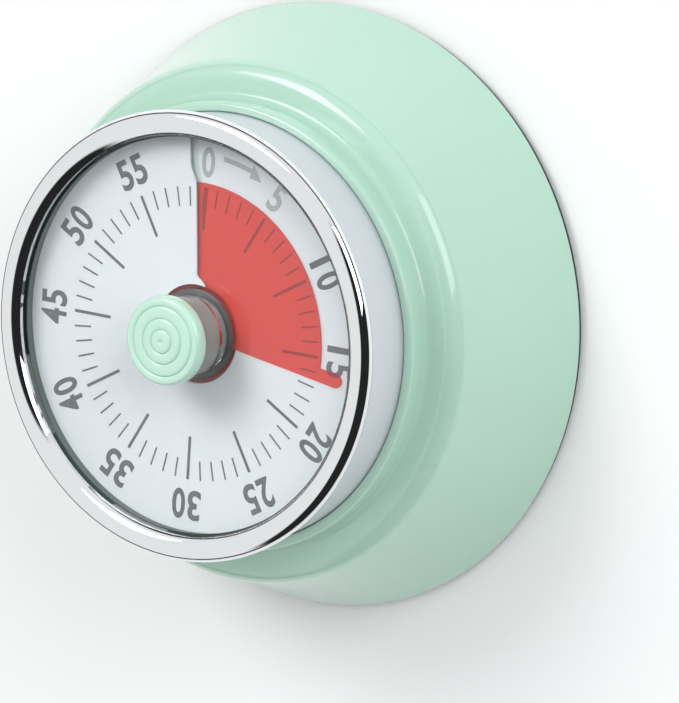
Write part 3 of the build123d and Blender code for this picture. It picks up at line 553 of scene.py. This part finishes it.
class TimerShell(bpy.types.PropertyGroup):
    """Sizes of the housing, the drum and the bezel."""

    wall: length("Wall", "Thickness of the spun housing", 0.8 * MM)
    flare: length("Hollow", "How far the side wall curves inwards", 0.35 * MM)
    foot_band: length("Foot band", "Height of the upright edge at the foot", 0.5 * MM)
    shoulder_radius: length("Shoulder radius", "Where side wall and top would meet", 29.85 * MM)
    shoulder_z: length("Shoulder height", "Height of the flat top", 18.2 * MM)
    shoulder_round: length("Shoulder rounding", "Radius of the rolled shoulder", 2.4 * MM)
    collar_wall: length("Collar wall", "Thickness of the beaded collar", 1.15 * MM)
    collar_fillet: length("Collar fillet", "Radius at the foot of the collar", 0.9 * MM)
    collar_round: length("Collar rounding", "Radius of the bead's outer edge", 0.55 * MM)
    gap: length("Gap", "Play between collar and drum", 0.05 * MM)
    drum_wall: length("Drum wall", "Thickness of the drum", 0.6 * MM)
    flange: length("Flange", "Width of the drum's flange", 2.2 * MM)
    ledge_inner: length("Ledge radius", "Inner radius of the drum's ledge", 18.35 * MM)
    ledge_z: length("Ledge height", "Underside of the ledge", 21.0 * MM)
    ledge_sheet: length("Ledge thickness", "Thickness of the ledge", 0.8 * MM)
    boss_radius: length("Boss radius", "Radius of each screw boss", 2.0 * MM)
    boss_circle: length("Boss circle", "Distance of the bosses from the axis", 26.6 * MM)
    bezel_opening: length("Bezel opening", "Inner radius of the bezel", 23.0 * MM)
    bezel_step: length("Bezel wall", "Upright height of its inner wall", 0.5 * MM)
    bezel_nose: length("Bezel nose", "From its widest line in to its crown", 1.35 * MM)


class TimerFace(bpy.types.PropertyGroup):
    """Sizes of the dial, its print and the time disc."""

    hole: length("Hole", "Radius of the hole in the dial", 5.9 * MM)
    step_radius: length("Slit step", "Radius where the slit jogs sideways", 17.5 * MM)
    step_run: length("Slit step length", "Radial length of the jog", 1.7 * MM)
    tongue_radius: length("Tongue", "Radius where the tongue at the hub ends", 6.9 * MM)
    lip: length("Lip", "How far the tongue reaches past the 0 line", 1.15 * MM)
    lap: length("Lap", "How far the low end runs on under the high end", 1.2 * MM)
    tick_outer: length("Tick radius", "Outer end of every tick", 16.9 * MM)
    long_tick: length("Long tick", "Length of the five-minute ticks", 4.9 * MM)
    short_tick: length("Short tick", "Length of the minute ticks", 2.2 * MM)
    long_width: length("Long tick width", "Width of the five-minute ticks", 0.36 * MM)
    short_width: length("Short tick width", "Width of the minute ticks", 0.2 * MM)
    figure_radius: length("Figure radius", "Distance of the figures from the axis", 19.75 * MM)
    figure_height: length("Figure height", "Height of each figure", 3.45 * MM)
    figure_width: length("Figure width", "Width of one digit", 1.78 * MM)
    figure_gap: length("Figure gap", "Space between two digits", 0.34 * MM)
    arrow_radius: length("Arrow radius", "Distance of the arrow from the axis", 20.55 * MM)
    disc_inner: length("Disc hole", "Inner radius of the time disc", 4.95 * MM)
    tab_radius: length("Pointer reach", "Radius of the pointer's tip", 20.4 * MM)
    tab_width: length("Pointer width", "Width of the pointer", 1.6 * MM)


class TimerColours(bpy.types.PropertyGroup):
    """Colours of the finishes."""

    mint: colour("Lacquer", "Mint green of the housing", (0.455, 0.685, 0.565))
    knob: colour("Knob", "Mint green of the cap", (0.57, 0.83, 0.69))
    silver: colour("Silver", "Paint of the drum", (0.66, 0.68, 0.72))
    chrome: colour("Chrome", "Tint of the bezel", (0.88, 0.89, 0.9))
    dial: colour("Dial", "White of the dial", (0.665, 0.69, 0.72))
    ink: colour("Ink", "Grey of the print", (0.10, 0.11, 0.125))
    # Painted reflection, not wear: this paler grey stands in for the lens's reflection that pales
    # the 0, the arrow and the 5.
    faded: colour("Faded ink", "Grey of the worn print", (0.36, 0.38, 0.39))
    # Painted shadow: this pale green grey stands in for the high flap's shade on the low flap
    # beside the slit.
    slit: colour("Slit shade", "Pale green grey seen beside the slit", (0.50, 0.57, 0.55))
    # Painted shade: the seat's dark green grey stands in for the shade in the recess between dial
    # and bezel and the greenish reflection in its wall.
    seat: colour("Seat", "Dark green grey of the ring under the dial", (0.05, 0.085, 0.075))
    red: colour("Red", "Colour of the time disc", (0.80, 0.105, 0.085))


class TimerStudio(bpy.types.PropertyGroup):
    """Camera and lights."""

    aim_height: length("Aim height", "Height of the point that the view turns about", 15.0 * MM)
    distance: length("Distance", "Camera distance", 1.991)
    lens: bpy.props.FloatProperty(
        name="Focal length", description="In millimetres", default=892.0, min=1
    )
    tilt: bpy.props.FloatProperty(
        name="Tilt", description="Angle between the view and the timer's axis",
        default=math.radians(36.6), subtype="ANGLE",
    )
    turn: bpy.props.FloatProperty(
        name="Turn", description="Direction of the view about the axis, from +X",
        default=math.radians(19.55), subtype="ANGLE",
    )
    roll: bpy.props.FloatProperty(
        name="Roll", description="Camera roll", default=math.radians(3.22), subtype="ANGLE"
    )
    across: length("Across", "How far right of the aim the frame's centre lies", 9.34 * MM)
    up: length("Up", "How far above the aim the frame's centre lies", -3.62 * MM)
    key: bpy.props.FloatProperty(
        name="Key", description="Key light in watts", default=2.2, min=0, unit="POWER"
    )
    fill: bpy.props.FloatProperty(
        name="Fill", description="Fill light in watts", default=2.6, min=0, unit="POWER"
    )
    sky: bpy.props.FloatProperty(
        name="Surroundings", description="Strength of the pale surroundings", default=0.62, min=0
    )
    floor: colour("Floor", "Colour of the floor", (0.985, 0.99, 0.99))


# ------------------------------------------------------------------ pieces
def bulged_wall(foot_radius, foot_z, top_radius, top_z, hollow, stations):
    """A leaning wall: a straight line pulled inwards by a parabola."""
    t = np.asarray(stations)
    radius = foot_radius + (top_radius - foot_radius) * t - hollow * 4 * t * (1 - t)
    return [(r, z, 0.0) for r, z in zip(radius, foot_z + (top_z - foot_z) * t)]


def joined(name, *parts):
    """Several meshes as one piece, each a closed shell of its own."""
    for part in parts:
        part.select_set(True)
    with bpy.context.temp_override(
        active_object=parts[0], selected_editable_objects=list(parts), selected_objects=list(parts)
    ):
        bpy.ops.object.join()
    parts[0].name = name
    parts[0].data.name = name
    parts[0].select_set(False)
    return parts[0]


def text_points(words):
    """Triangles of a flat word in the built-in font, 1 high, with its corner at 0."""
    curve = bpy.data.curves.new("figure", "FONT")
    curve.body = words
    curve.resolution_u = 6
    curve.offset = 0.024
    curve.extrude = 0.5
    holder = bpy.data.objects.new("figure", curve)
    bpy.context.collection.objects.link(holder)
    bpy.context.view_layer.update()
    flat = bpy.data.meshes.new_from_object(
        holder.evaluated_get(bpy.context.evaluated_depsgraph_get())
    )
    points = np.empty(len(flat.vertices) * 3)
    flat.vertices.foreach_get("co", points)
    points = points.reshape(-1, 3)
    faces = [tuple(face.vertices) for face in flat.polygons]
    bpy.data.objects.remove(holder)
    bpy.data.curves.remove(curve)
    bpy.data.meshes.remove(flat)
    span = points.max(axis=0) - points.min(axis=0)
    points = (points - points.min(axis=0)) / span - np.array([0.0, 0.0, 0.5])
    return points, faces


def lay_on_dial(points):
    """Lift flat print onto the ramp: z becomes the ramp's height plus the ink."""
    x, y, z = points[..., 0], points[..., 1], points[..., 2]
    clockwise = np.degrees(np.arctan2(x, y)) % 360.0
    clockwise = np.where(clockwise > 356.0, clockwise - 360.0, clockwise)
    return np.stack([x, y, ramp_height(clockwise, DIAL_LOW_Z) + z], axis=-1)


def printed_at(flat, minutes):
    """Flat print drawn at the 0 mark, turned clockwise to its minute and laid on the dial."""
    angle = np.radians(minutes * MINUTE)
    x = flat[..., 0] * np.cos(angle) + flat[..., 1] * np.sin(angle)
    y = flat[..., 1] * np.cos(angle) - flat[..., 0] * np.sin(angle)
    return lay_on_dial(np.stack([x, y, flat[..., 2]], axis=-1))


def slit_edge(s, radius, lip):
    """Sideways place of the slit's edge: straight runs with their corners averaged."""
    step_end = s.step_radius + s.step_run
    stations = np.array(
        [s.tongue_radius - 0.8 * MM, s.tongue_radius, s.step_radius, step_end, DIAL_RADIUS + MM]
    )
    sideways = -np.array(SLIT_LEFT[:1] + SLIT_LEFT)
    if lip:
        sideways[0] = lip
    soft = 0.18 * MM
    near = [np.interp(radius + shift, stations, sideways) for shift in (-soft, 0.0, soft)]
    return (near[0] + 2 * near[1] + near[2]) / 4


class PieceOperator:
    """What the piece operators share: undo."""

    bl_options = {"REGISTER", "UNDO"}


class TIMER_OT_housing(PieceOperator, bpy.types.Operator):
    """Make the spun mint green housing with its shoulder and beaded collar"""

    bl_idname = "timer.housing"
    bl_label = "Housing"

    def execute(self, context):
        s = context.scene.timer_shell
        bore = DRUM_RADIUS + s.gap
        collar = bore + s.collar_wall
        under_z = s.shoulder_z - s.wall
        stations = np.linspace(0, 0.84, 28)
        outer = bulged_wall(
            BASE_RADIUS, FOOT_Z + s.foot_band, s.shoulder_radius, s.shoulder_z, s.flare, stations
        )
        inner = bulged_wall(
            BASE_RADIUS - s.wall, FOOT_Z, s.shoulder_radius - s.wall, under_z, s.flare, stations
        )
        outline = (
            [(BASE_RADIUS - s.wall, FOOT_Z, 0.0), (BASE_RADIUS, FOOT_Z, 0.3 * MM)]
            + outer
            + [
                (s.shoulder_radius, s.shoulder_z, s.shoulder_round),
                (collar, s.shoulder_z, s.collar_fillet),
                (collar, COLLAR_Z, s.collar_round),
                (bore, COLLAR_Z, s.collar_round / 2),
                (bore, under_z, 0.0),
                (s.shoulder_radius - s.wall, under_z, s.shoulder_round - s.wall),
            ]
            + inner[:0:-1]
        )
        piece = turned("housing", rounded(outline, 12))
        settle(piece, "case", "mint_lacquer", look("mint_lacquer"), "housing_shell")
        return {"FINISHED"}


class TIMER_OT_drum(PieceOperator, bpy.types.Operator):
    """Make the silver drum with its flange, ledge and screw bosses"""

    bl_idname = "timer.drum"
    bl_label = "Drum"

    def execute(self, context):
        s = context.scene.timer_shell
        bore = DRUM_RADIUS - s.drum_wall
        flange_top = s.shoulder_z - s.wall
        flange_low = flange_top - 1.0 * MM
        soft = 0.12 * MM
        outline = [
            (bore, flange_low, 0.0), (DRUM_RADIUS + s.flange, flange_low, soft),
            (DRUM_RADIUS + s.flange, flange_top, soft), (DRUM_RADIUS, flange_top, 0.0),
            (DRUM_RADIUS, DRUM_TOP_Z, soft), (bore, DRUM_TOP_Z, soft),
            (bore, s.ledge_z + s.ledge_sheet, 0.0),
            (s.ledge_inner, s.ledge_z + s.ledge_sheet, soft),
            (s.ledge_inner, s.ledge_z, soft), (bore, s.ledge_z, 0.0),
        ]
        shells = [turned("drum", rounded(outline, 5))]
        boss_low = low("face_drum")
        boss = rounded(
            [
                (0.65 * MM, flange_low, 0.0), (0.65 * MM, boss_low, soft),
                (s.boss_radius, boss_low, soft), (s.boss_radius, flange_low, 0.0),
            ],
            4,
        )
        for corner in range(3):
            angle = math.radians(90 + corner * 120)
            at = (s.boss_circle * math.cos(angle), s.boss_circle * math.sin(angle))
            shells.append(turned(f"boss_{corner}", boss, 40, centre=at))
        piece = joined("drum", *shells)
        settle(piece, "case", "silver_paint", look("silver_paint"), "face_drum")
        return {"FINISHED"}


class TIMER_OT_bezel(PieceOperator, bpy.types.Operator):
    """Make the chromed bezel, an upside-down channel with a rounded nose"""

    bl_idname = "timer.bezel"
    bl_label = "Bezel"

    def execute(self, context):
        s = context.scene.timer_shell
        nose = BEZEL_RADIUS - s.bezel_nose
        outer = arc_through(
            (BEZEL_RADIUS, DRUM_TOP_Z + 0.1 * MM),
            (BEZEL_RADIUS - 0.38 * MM, BEZEL_TOP_Z - 0.26 * MM),
            (nose, BEZEL_TOP_Z),
            20,
        )
        inner = arc_through(
            (nose, BEZEL_TOP_Z),
            (s.bezel_opening + 0.5 * MM, BEZEL_TOP_Z - 0.14 * MM),
            (s.bezel_opening, DRUM_TOP_Z + s.bezel_step),
            20,
        )
        skirt = [
            (DRUM_RADIUS + 0.02 * MM, DRUM_TOP_Z), (DRUM_RADIUS + 0.02 * MM, BEZEL_FOOT_Z),
            (BEZEL_RADIUS - 0.08 * MM, DRUM_TOP_Z - 0.15 * MM),
        ]
        foot = [(s.bezel_opening, DRUM_TOP_Z)]
        outline = np.concatenate([skirt, outer, inner[1:], foot])
        piece = turned("bezel", outline, 320)
        settle(piece, "case", "chrome_plate", look("chrome_plate"), "bezel_ring")
        return {"FINISHED"}


class TIMER_OT_lens(PieceOperator, bpy.types.Operator):
    """Make the clear window with its hole for the knob's stem"""

    bl_idname = "timer.lens"
    bl_label = "Lens"

    def execute(self, context):
        hole = STEM_RADIUS + 0.1 * MM
        soft = 0.08 * MM
        outline = [
            (hole, LENS_LOW_Z, soft), (LENS_RADIUS, LENS_LOW_Z, soft),
            (LENS_RADIUS, LENS_HIGH_Z, soft), (hole, LENS_HIGH_Z, soft),
        ]
        piece = turned("window", rounded(outline, 4), 200)
        settle(piece, "case", "clear_acrylic", look("clear_acrylic"), "lens")
        return {"FINISHED"}


class TIMER_OT_dial(PieceOperator, bpy.types.Operator):
    """Make the dial, one turn of a shallow ramp with its jogged slit"""

    bl_idname = "timer.dial"
    bl_label = "Dial"

    def execute(self, context):
        s = context.scene.timer_face
        radius = np.unique(
            np.concatenate(
                [
                    np.linspace(s.hole, s.tongue_radius + 0.5 * MM, 40),
                    np.linspace(s.tongue_radius + 0.5 * MM, s.step_radius - 0.5 * MM, 16),
                    np.linspace(s.step_radius - 0.5 * MM, s.step_radius + s.step_run, 32),
                    np.linspace(s.step_radius + s.step_run, DIAL_RADIUS, 16),
                ]
            )
        )
        low_x = slit_edge(s, radius, 0.0) - s.lap
        high_x = slit_edge(s, radius, s.lip)
        first = np.degrees(np.arcsin(low_x / radius))
        last = 360.0 + np.degrees(np.arcsin(high_x / radius))
        share = np.linspace(0, 1, 361)[:, None]
        clockwise = first + (last - first) * share
        top = ramp_grid(radius + 0 * clockwise, clockwise, DIAL_LOW_Z)
        piece = slab("dial", top, DIAL_SHEET)
        settle(piece, "case", "dial_white", look("dial_white"), "dial_plate")
        return {"FINISHED"}


class TIMER_OT_print(PieceOperator, bpy.types.Operator):
    """Print the ticks, the figures and the winding arrow on the dial"""

    bl_idname = "timer.print"
    bl_label = "Dial print"

    def execute(self, context):
        s = context.scene.timer_face
        dark = [self.figure(s, minute) for minute in range(10, 60, 5)]
        piece = joined("dial_print", self.ticks(s), *dark)
        settle(piece, "case", "dial_white", look("dial_ink"))
        # The arrow, the 0 and the 5 get the paler ink, a painted reflection of the lens over them.
        faded = joined("dial_arrow", self.arrow(s), self.figure(s, 0), self.figure(s, 5))
        settle(faded, "case", "dial_white", look("painted_glare_ink"))
        # The pale strip beside the slit is a painted shadow of the high flap's edge.
        settle(self.slit_shade(s), "case", "dial_white", look("slit_shade"))
        return {"FINISHED"}

    def ticks(self, s):
        """Sixty flat boxes, one a minute; the 0 tick is broad and leans with the slit."""
        minutes = np.arange(60)
        big = minutes % 5 == 0
        span = np.where(big, s.long_tick, s.short_tick)
        width = np.where(big, s.long_width, s.short_width)
        width[0] = ZERO_WIDTH
        lean = np.zeros((60, 2))
        lean[0] = ZERO_LEAN
        x = lean[:, None, :, None] + (width[:, None] * np.array([-0.5, 0.5]))[:, :, None, None]
        y = np.stack([s.tick_outer - span, np.full(60, s.tick_outer)], axis=1)[:, None, :, None]
        corners = np.stack(np.broadcast_arrays(x, y, np.array([0.0, LAYER])), axis=-1)
        points = printed_at(corners.reshape(60, 8, 3), minutes[:, None])
        box = np.array(
            [[0, 1, 3, 2], [4, 6, 7, 5], [0, 4, 5, 1], [2, 3, 7, 6], [0, 2, 6, 4], [1, 5, 7, 3]]
        )
        faces = (box[None] + 8 * minutes[:, None, None]).reshape(-1, 4).tolist()
        return make_mesh("ticks", points, faces)

    def figure(self, s, minute):
        """One number, standing outwards at its minute, drawn digit by digit."""
        digits = str(minute)
        step = s.figure_width + s.figure_gap
        whole = step * len(digits) - s.figure_gap
        rows, cells, offset = [], [], 0
        for place, digit in enumerate(digits):
            points, faces = text_points(digit)
            wide = s.figure_width * (ONE_SHARE if digit == "1" else 1.0)
            left = place * step - whole / 2 + (s.figure_width - wide) * 0.3
            flat = points * np.array([wide, s.figure_height, LAYER])
            flat = flat + np.array([left, s.figure_radius - s.figure_height / 2, LAYER / 2])
            if minute == 0:
                flat[:, 0] += ZERO_SHIFT
            rows.append(flat)
            cells += [tuple(v + offset for v in face) for face in faces]
            offset += len(points)
        return make_mesh(f"figure_{minute}", printed_at(np.concatenate(rows), minute), cells)

    def arrow(self, s):
        """A band along an arc, ending in a triangle that points clockwise."""
        start, neck, tip = ARROW_SPAN
        along = np.concatenate([np.linspace(start, neck, 24), np.linspace(neck, tip, 12)])
        taper = HEAD_HALF * (tip - along) / (tip - neck) + 1e-6
        half = np.where(np.arange(36) < 24, ARROW_HALF, taper)
        droop = HEAD_DROOP * np.clip((along - neck) / (tip - neck), 0, 1)
        radius = s.arrow_radius - droop[:, None] + half[:, None] * np.array([-1.0, 1.0])
        top = ramp_grid(radius, along[:, None] + 0 * radius, DIAL_LOW_Z + LAYER)
        return slab("arrow", top, LAYER)

    def slit_shade(self, s):
        """Painted shadow: a pale strip beside the slit's edge, where the high flap's edge shades
        the low flap, wider past the jog than before it.
        """
        step_end = s.step_radius + s.step_run
        radius = np.linspace(s.tongue_radius + 0.8 * MM, DIAL_RADIUS - 0.1 * MM, 60)[:, None]
        wide = 0.5 * MM + 0.3 * MM * smooth_step(radius, s.step_radius, step_end)
        x = slit_edge(s, radius, s.lip) + wide * np.linspace(-0.3, 1.0, 8)
        top = ramp_grid(radius + 0 * x, np.degrees(np.arcsin(x / radius)), DIAL_LOW_Z + LAYER)
        return slab("slit_shade", top, LAYER)


class TIMER_OT_time_disc(PieceOperator, bpy.types.Operator):
    """Make the red time disc with its pointer, and the hub that carries it"""

    bl_idname = "timer.time_disc"
    bl_label = "Time disc"

    def execute(self, context):
        s = context.scene.timer_face
        half = s.tab_width / 2
        centre = np.array([s.tab_radius - half, half])
        side = math.atan2(s.tab_width, centre[0])
        edge = math.asin(s.tab_width / DISC_OUTER)
        behind = np.unique(
            np.concatenate(
                [
                    np.linspace(0, side, 40),
                    np.linspace(side, edge, 12),
                    np.linspace(edge, math.radians(DISC_SPAN), 420),
                ]
            )
        )
        ray = np.stack([np.cos(behind), np.sin(behind)], axis=1) @ centre
        under = np.maximum(ray**2 - centre @ centre + half**2, 0.0)
        outer = np.where(
            behind <= side,
            ray + np.sqrt(under),
            np.where(behind <= edge, s.tab_width / np.maximum(np.sin(behind), 1e-9), DISC_OUTER),
        )
        outer = np.maximum(outer, DISC_OUTER)
        share = np.linspace(0, 1, 24)
        clockwise = (LEAD_DEGREES - np.degrees(behind))[::-1, None]
        radius = s.disc_inner + (outer[::-1, None] - s.disc_inner) * share
        top = ramp_grid(radius, clockwise + 0 * radius, DISC_LOW_Z)
        piece = slab("red_disc", top, DISC_SHEET)
        settle(piece, "time_disc", "disc_red", look("disc_red"), "time_disc")
        hub_low, hub_high = low("disc_hub"), high("disc_hub")
        hub_radius = radius_of("disc_hub")
        soft = 0.15 * MM
        outline = [
            (STEM_RADIUS + 0.05 * MM, hub_low, 0.0), (hub_radius, hub_low, soft),
            (hub_radius, hub_high, soft), (STEM_RADIUS + 0.05 * MM, hub_high, soft / 2),
        ]
        hub = turned("hub", rounded(outline, 5), 120)
        settle(hub, "time_disc", "grey_plastic", look("grey_plastic"), "disc_hub")
        return {"FINISHED"}


class TIMER_OT_knob(PieceOperator, bpy.types.Operator):
    """Make the ringed cap, its clear stem and the black washer between them"""

    bl_idname = "timer.knob"
    bl_label = "Knob"

    def execute(self, context):
        bore = ARBOR_BORE
        stem_low, stem_high = low("knob_stem"), high("knob_stem")
        soft = 0.1 * MM
        outline = [
            (bore, stem_low, soft), (STEM_RADIUS, stem_low, soft),
            (STEM_RADIUS, stem_high, soft), (bore, stem_high, soft),
        ]
        stem = turned("stem", rounded(outline, 4), 160)
        # The stem's dull grey is painted shade standing in for its reflections.
        settle(stem, "knob", "clear_acrylic", look("stem_acrylic"), "knob_stem")
        washer_radius = radius_of("stem_washer")
        outline = [
            (bore, stem_high, 0.0), (washer_radius, stem_high, 0.05 * MM),
            (washer_radius, CAP_LOW_Z, 0.05 * MM), (bore, CAP_LOW_Z, 0.0),
        ]
        washer = turned("washer", rounded(outline, 3), 120)
        settle(washer, "knob", "rubber_black", look("rubber_black"), "stem_washer")
        cap = turned("cap", self.cap_outline(bore), 200, sharp_degrees=70.0)
        settle(cap, "knob", "mint_plastic", look("mint_plastic"), "knob_cap")
        return {"FINISHED"}

    def cap_outline(self, bore):
        """Rounded skirt, then three rings and a nub, each crest a half ellipse.

        Height over a ring is its groove line plus depth times the root of
        1 - t^2, where t runs from -1 to 1 across the ring.
        """
        grooves = np.array([CAP_RADIUS - CAP_ROLL, *CAP_GROOVES])
        depth = GROOVE_DEPTH
        crest_z = CAP_HIGH_Z - 0.02 * MM
        floor = crest_z - depth - RING_STEP * np.arange(4)[::-1]
        t = np.linspace(-1, 1, 25)
        rings = []
        for number in range(4):
            outer, inner = grooves[number], grooves[number + 1]
            radius = (outer + inner) / 2 - t * (outer - inner) / 2
            before = floor[number] if number == 0 else (floor[number] + floor[number - 1]) / 2
            height = before + (floor[number] - before) * (t + 1) / 2
            height = height + depth * np.sqrt(np.maximum(1 - t**2, 0)) ** 0.8
            rings.append(np.stack([radius, height], axis=1)[(1 if number else 0):])
        swell = np.linspace(0, 1, 16)
        skirt_radius = CAP_RADIUS - CAP_TUCK * (1 - np.sin(swell * np.pi / 2)) ** 1.6
        skirt_z = CAP_LOW_Z + CAP_SKIRT * swell
        side = np.stack([skirt_radius, skirt_z], axis=1)
        turn = np.linspace(0, 1, 12)[1:-1]
        top_z = rings[0][0, 1]
        roll = np.stack(
            [
                CAP_RADIUS - CAP_ROLL * (1 - np.cos(turn * np.pi / 2)),
                skirt_z[-1] + (top_z - skirt_z[-1]) * np.sin(turn * np.pi / 2),
            ],
            axis=1,
        )
        dimple = np.array([[0.0, rings[-1][-1, 1] - 0.06 * MM]])
        socket_z = CAP_LOW_Z + 1.0 * MM
        foot = np.array([[0.0, socket_z], [bore, socket_z], [bore, CAP_LOW_Z]])
        return np.concatenate([foot, side, roll, *rings, dimple])


CAD_FINISHES = {
    # The dial seat's dark green grey is painted shade of the recess round the dial.
    "seat_plastic_painted_shade": "dial_seat",
    "black_plastic": "back_cover",
    "rubber_black": "rubber_ring",
    "magnet_ferrite": "magnet_discs",
    "screw_steel": "cover_screws pillar_nuts movement_screws gong_nut click_screw",
    "plate_brass": "back_plate front_plate",
    "arbor_steel": (
        "pillars spring_post gong_post main_arbor ratchet_wheel click_pawl second_arbor "
        "third_arbor escape_arbor pallet_arbor pallet_lever pallet_pins hammer_arbor "
        "hammer_tail hammer_arm"
    ),
    "spring_steel": "mainspring hammer_spring",
    "gong_steel": "gong",
    "wheel_brass": "great_wheel strike_cam second_wheel third_wheel escape_wheel hammer_head",
}


class TIMER_OT_movement(PieceOperator, bpy.types.Operator):
    """Finish the movement, the strike work and the back, which keep their CAD shapes"""

    bl_idname = "timer.movement"
    bl_label = "Movement and back"

    def execute(self, context):
        for finish, names in CAD_FINISHES.items():
            for name in names.split():
                set_material(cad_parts[name], look(finish))
        return {"FINISHED"}


# ------------------------------------------------------------------ studio
def area_light(name, at, towards, size, watts, tint):
    """A square soft box that faces a point."""
    data = bpy.data.lights.new(name, "AREA")
    data.size = size
    data.energy = watts
    data.color = tint
    lamp = bpy.data.objects.new(name, data)
    bpy.context.collection.objects.link(lamp)
    lamp.location = at
    lamp.rotation_euler = (Vector(towards) - Vector(at)).to_track_quat("-Z", "Y").to_euler()
    return lamp


def surroundings(strength):
    """Pale surroundings; polished faces also see one dark wall and a dark skirting.

    The wall is the part of the sky whose direction is within a wide angle of
    the wall's own direction, and the skirting is all that lies just above the
    horizon. Both have soft edges, and the darker of the two counts.
    """
    world = bpy.data.worlds.new("surroundings")
    bpy.context.scene.world = world
    world.use_nodes = True
    tree = world.node_tree
    back = tree.nodes["Background"]
    place = node(tree, "ShaderNodeTexCoord")
    along = node(tree, "ShaderNodeVectorMath", operation="DOT_PRODUCT")
    along.inputs[1].default_value = Vector((0.80, -0.42, 0.42)).normalized()
    tree.links.new(place.outputs["Generated"], along.inputs[0])
    wall = node(tree, "ShaderNodeMapRange", interpolation_type="SMOOTHSTEP")
    for key, value in (("From Min", 0.32), ("From Max", 0.46), ("To Min", 1.4), ("To Max", 0.03)):
        wall.inputs[key].default_value = value
    tree.links.new(along.outputs["Value"], wall.inputs["Value"])
    split = node(tree, "ShaderNodeSeparateXYZ")
    tree.links.new(place.outputs["Generated"], split.inputs[0])
    skirt = node(tree, "ShaderNodeMapRange", interpolation_type="SMOOTHSTEP")
    for key, value in (("From Min", 0.16), ("From Max", 0.30), ("To Min", 0.03), ("To Max", 1.65)):
        skirt.inputs[key].default_value = value
    tree.links.new(split.outputs["Z"], skirt.inputs["Value"])
    darker = math_node(tree, "MINIMUM", wall.outputs["Result"], skirt.outputs["Result"])
    path = node(tree, "ShaderNodeLightPath")
    extra = math_node(tree, "SUBTRACT", darker, 1.0)
    seen = math_node(tree, "MULTIPLY", extra, path.outputs["Is Glossy Ray"])
    level = math_node(tree, "MULTIPLY", math_node(tree, "ADD", seen, 1.0), strength)
    tree.links.new(level, back.inputs["Strength"])
    back.inputs["Color"].default_value = (0.985, 0.995, 1.0, 1.0)


class TIMER_OT_studio(PieceOperator, bpy.types.Operator):
    """Make the pale floor, the soft lights and the camera"""

    bl_idname = "timer.studio"
    bl_label = "Studio"

    def execute(self, context):
        scene = context.scene
        s = scene.timer_studio
        self.camera(scene, s)
        surroundings(s.sky)
        grid = np.linspace(-FLOOR_REACH, FLOOR_REACH, 3)
        x, y = np.meshgrid(grid, grid, indexing="ij")
        floor = make_mesh(
            "floor", np.stack([x, y, 0 * x - 0.02 * MM], axis=-1), quads(np.arange(9).reshape(3, 3))
        )
        set_material(
            floor,
            finish_material(
                "floor", "grain", s.floor,
                {"Speckle": 0.01, "Gloss": 0.6, "Spread": 0.05, "Scale": 900.0}, 0.0,
            ),
        )
        centre = (0.0, 0.0, s.aim_height)
        area_light("key", KEY_AT, centre, KEY_SIZE, s.key, (1.0, 1.0, 1.0))
        area_light("fill", FILL_AT, centre, FILL_SIZE, s.fill, (0.96, 0.98, 1.0))
        scene.view_settings.view_transform = "Standard"
        scene.cycles.use_denoising = True
        return {"FINISHED"}

    def camera(self, scene, s):
        """Aim from the turn and tilt, roll, then slide the frame's centre sideways."""
        back = Vector(
            (
                math.sin(s.tilt) * math.cos(s.turn),
                math.sin(s.tilt) * math.sin(s.turn),
                math.cos(s.tilt),
            )
        )
        right = Vector((0, 1, 0)).cross(back).normalized()
        up = back.cross(right)
        rolled = right * math.cos(s.roll) + up * math.sin(s.roll)
        raised = up * math.cos(s.roll) - right * math.sin(s.roll)
        target = Vector((0, 0, s.aim_height))
        at = target + back * s.distance
        back = (at - (target + rolled * s.across + raised * s.up)).normalized()
        rolled = (rolled - back * rolled.dot(back)).normalized()
        raised = back.cross(rolled)
        data = bpy.data.cameras.new("camera")
        data.lens = s.lens
        data.clip_start = 0.01
        data.clip_end = 50.0
        camera = bpy.data.objects.new("camera", data)
        bpy.context.collection.objects.link(camera)
        turn = Matrix((rolled, raised, back)).transposed()
        camera.matrix_world = Matrix.Translation(at) @ turn.to_4x4()
        scene.camera = camera


class TIMER_PT_panel(bpy.types.Panel):
    """Lists the operators of the timer"""

    bl_idname = "TIMER_PT_panel"
    bl_label = "Kitchen Timer"
    bl_space_type = "VIEW_3D"
    bl_region_type = "UI"
    bl_category = "Timer"

    def draw(self, context):
        for operator in OPERATORS:
            self.layout.operator(operator.bl_idname)


SETTINGS = {
    "timer_shell": TimerShell, "timer_face": TimerFace, "timer_colours": TimerColours,
    "timer_studio": TimerStudio,
}
OPERATORS = (
    TIMER_OT_housing, TIMER_OT_drum, TIMER_OT_bezel, TIMER_OT_lens, TIMER_OT_dial,
    TIMER_OT_print, TIMER_OT_time_disc, TIMER_OT_knob, TIMER_OT_movement, TIMER_OT_studio,
)


def register():
    """Register the settings, the operators and the panel."""
    for name, settings in SETTINGS.items():
        bpy.utils.register_class(settings)
        setattr(bpy.types.Scene, name, bpy.props.PointerProperty(type=settings))
    for operator in OPERATORS:
        bpy.utils.register_class(operator)
    bpy.utils.register_class(TIMER_PT_panel)


def unregister():
    """Undo register, last class first."""
    bpy.utils.unregister_class(TIMER_PT_panel)
    for operator in reversed(OPERATORS):
        bpy.utils.unregister_class(operator)
    for name, settings in SETTINGS.items():
        delattr(bpy.types.Scene, name)
        bpy.utils.unregister_class(settings)


def main():
    """Make every piece in order."""
    register()
    for operator in OPERATORS:
        group, name = operator.bl_idname.split(".")
        getattr(getattr(bpy.ops, group), name)()


if __name__ == "__main__":
    main()
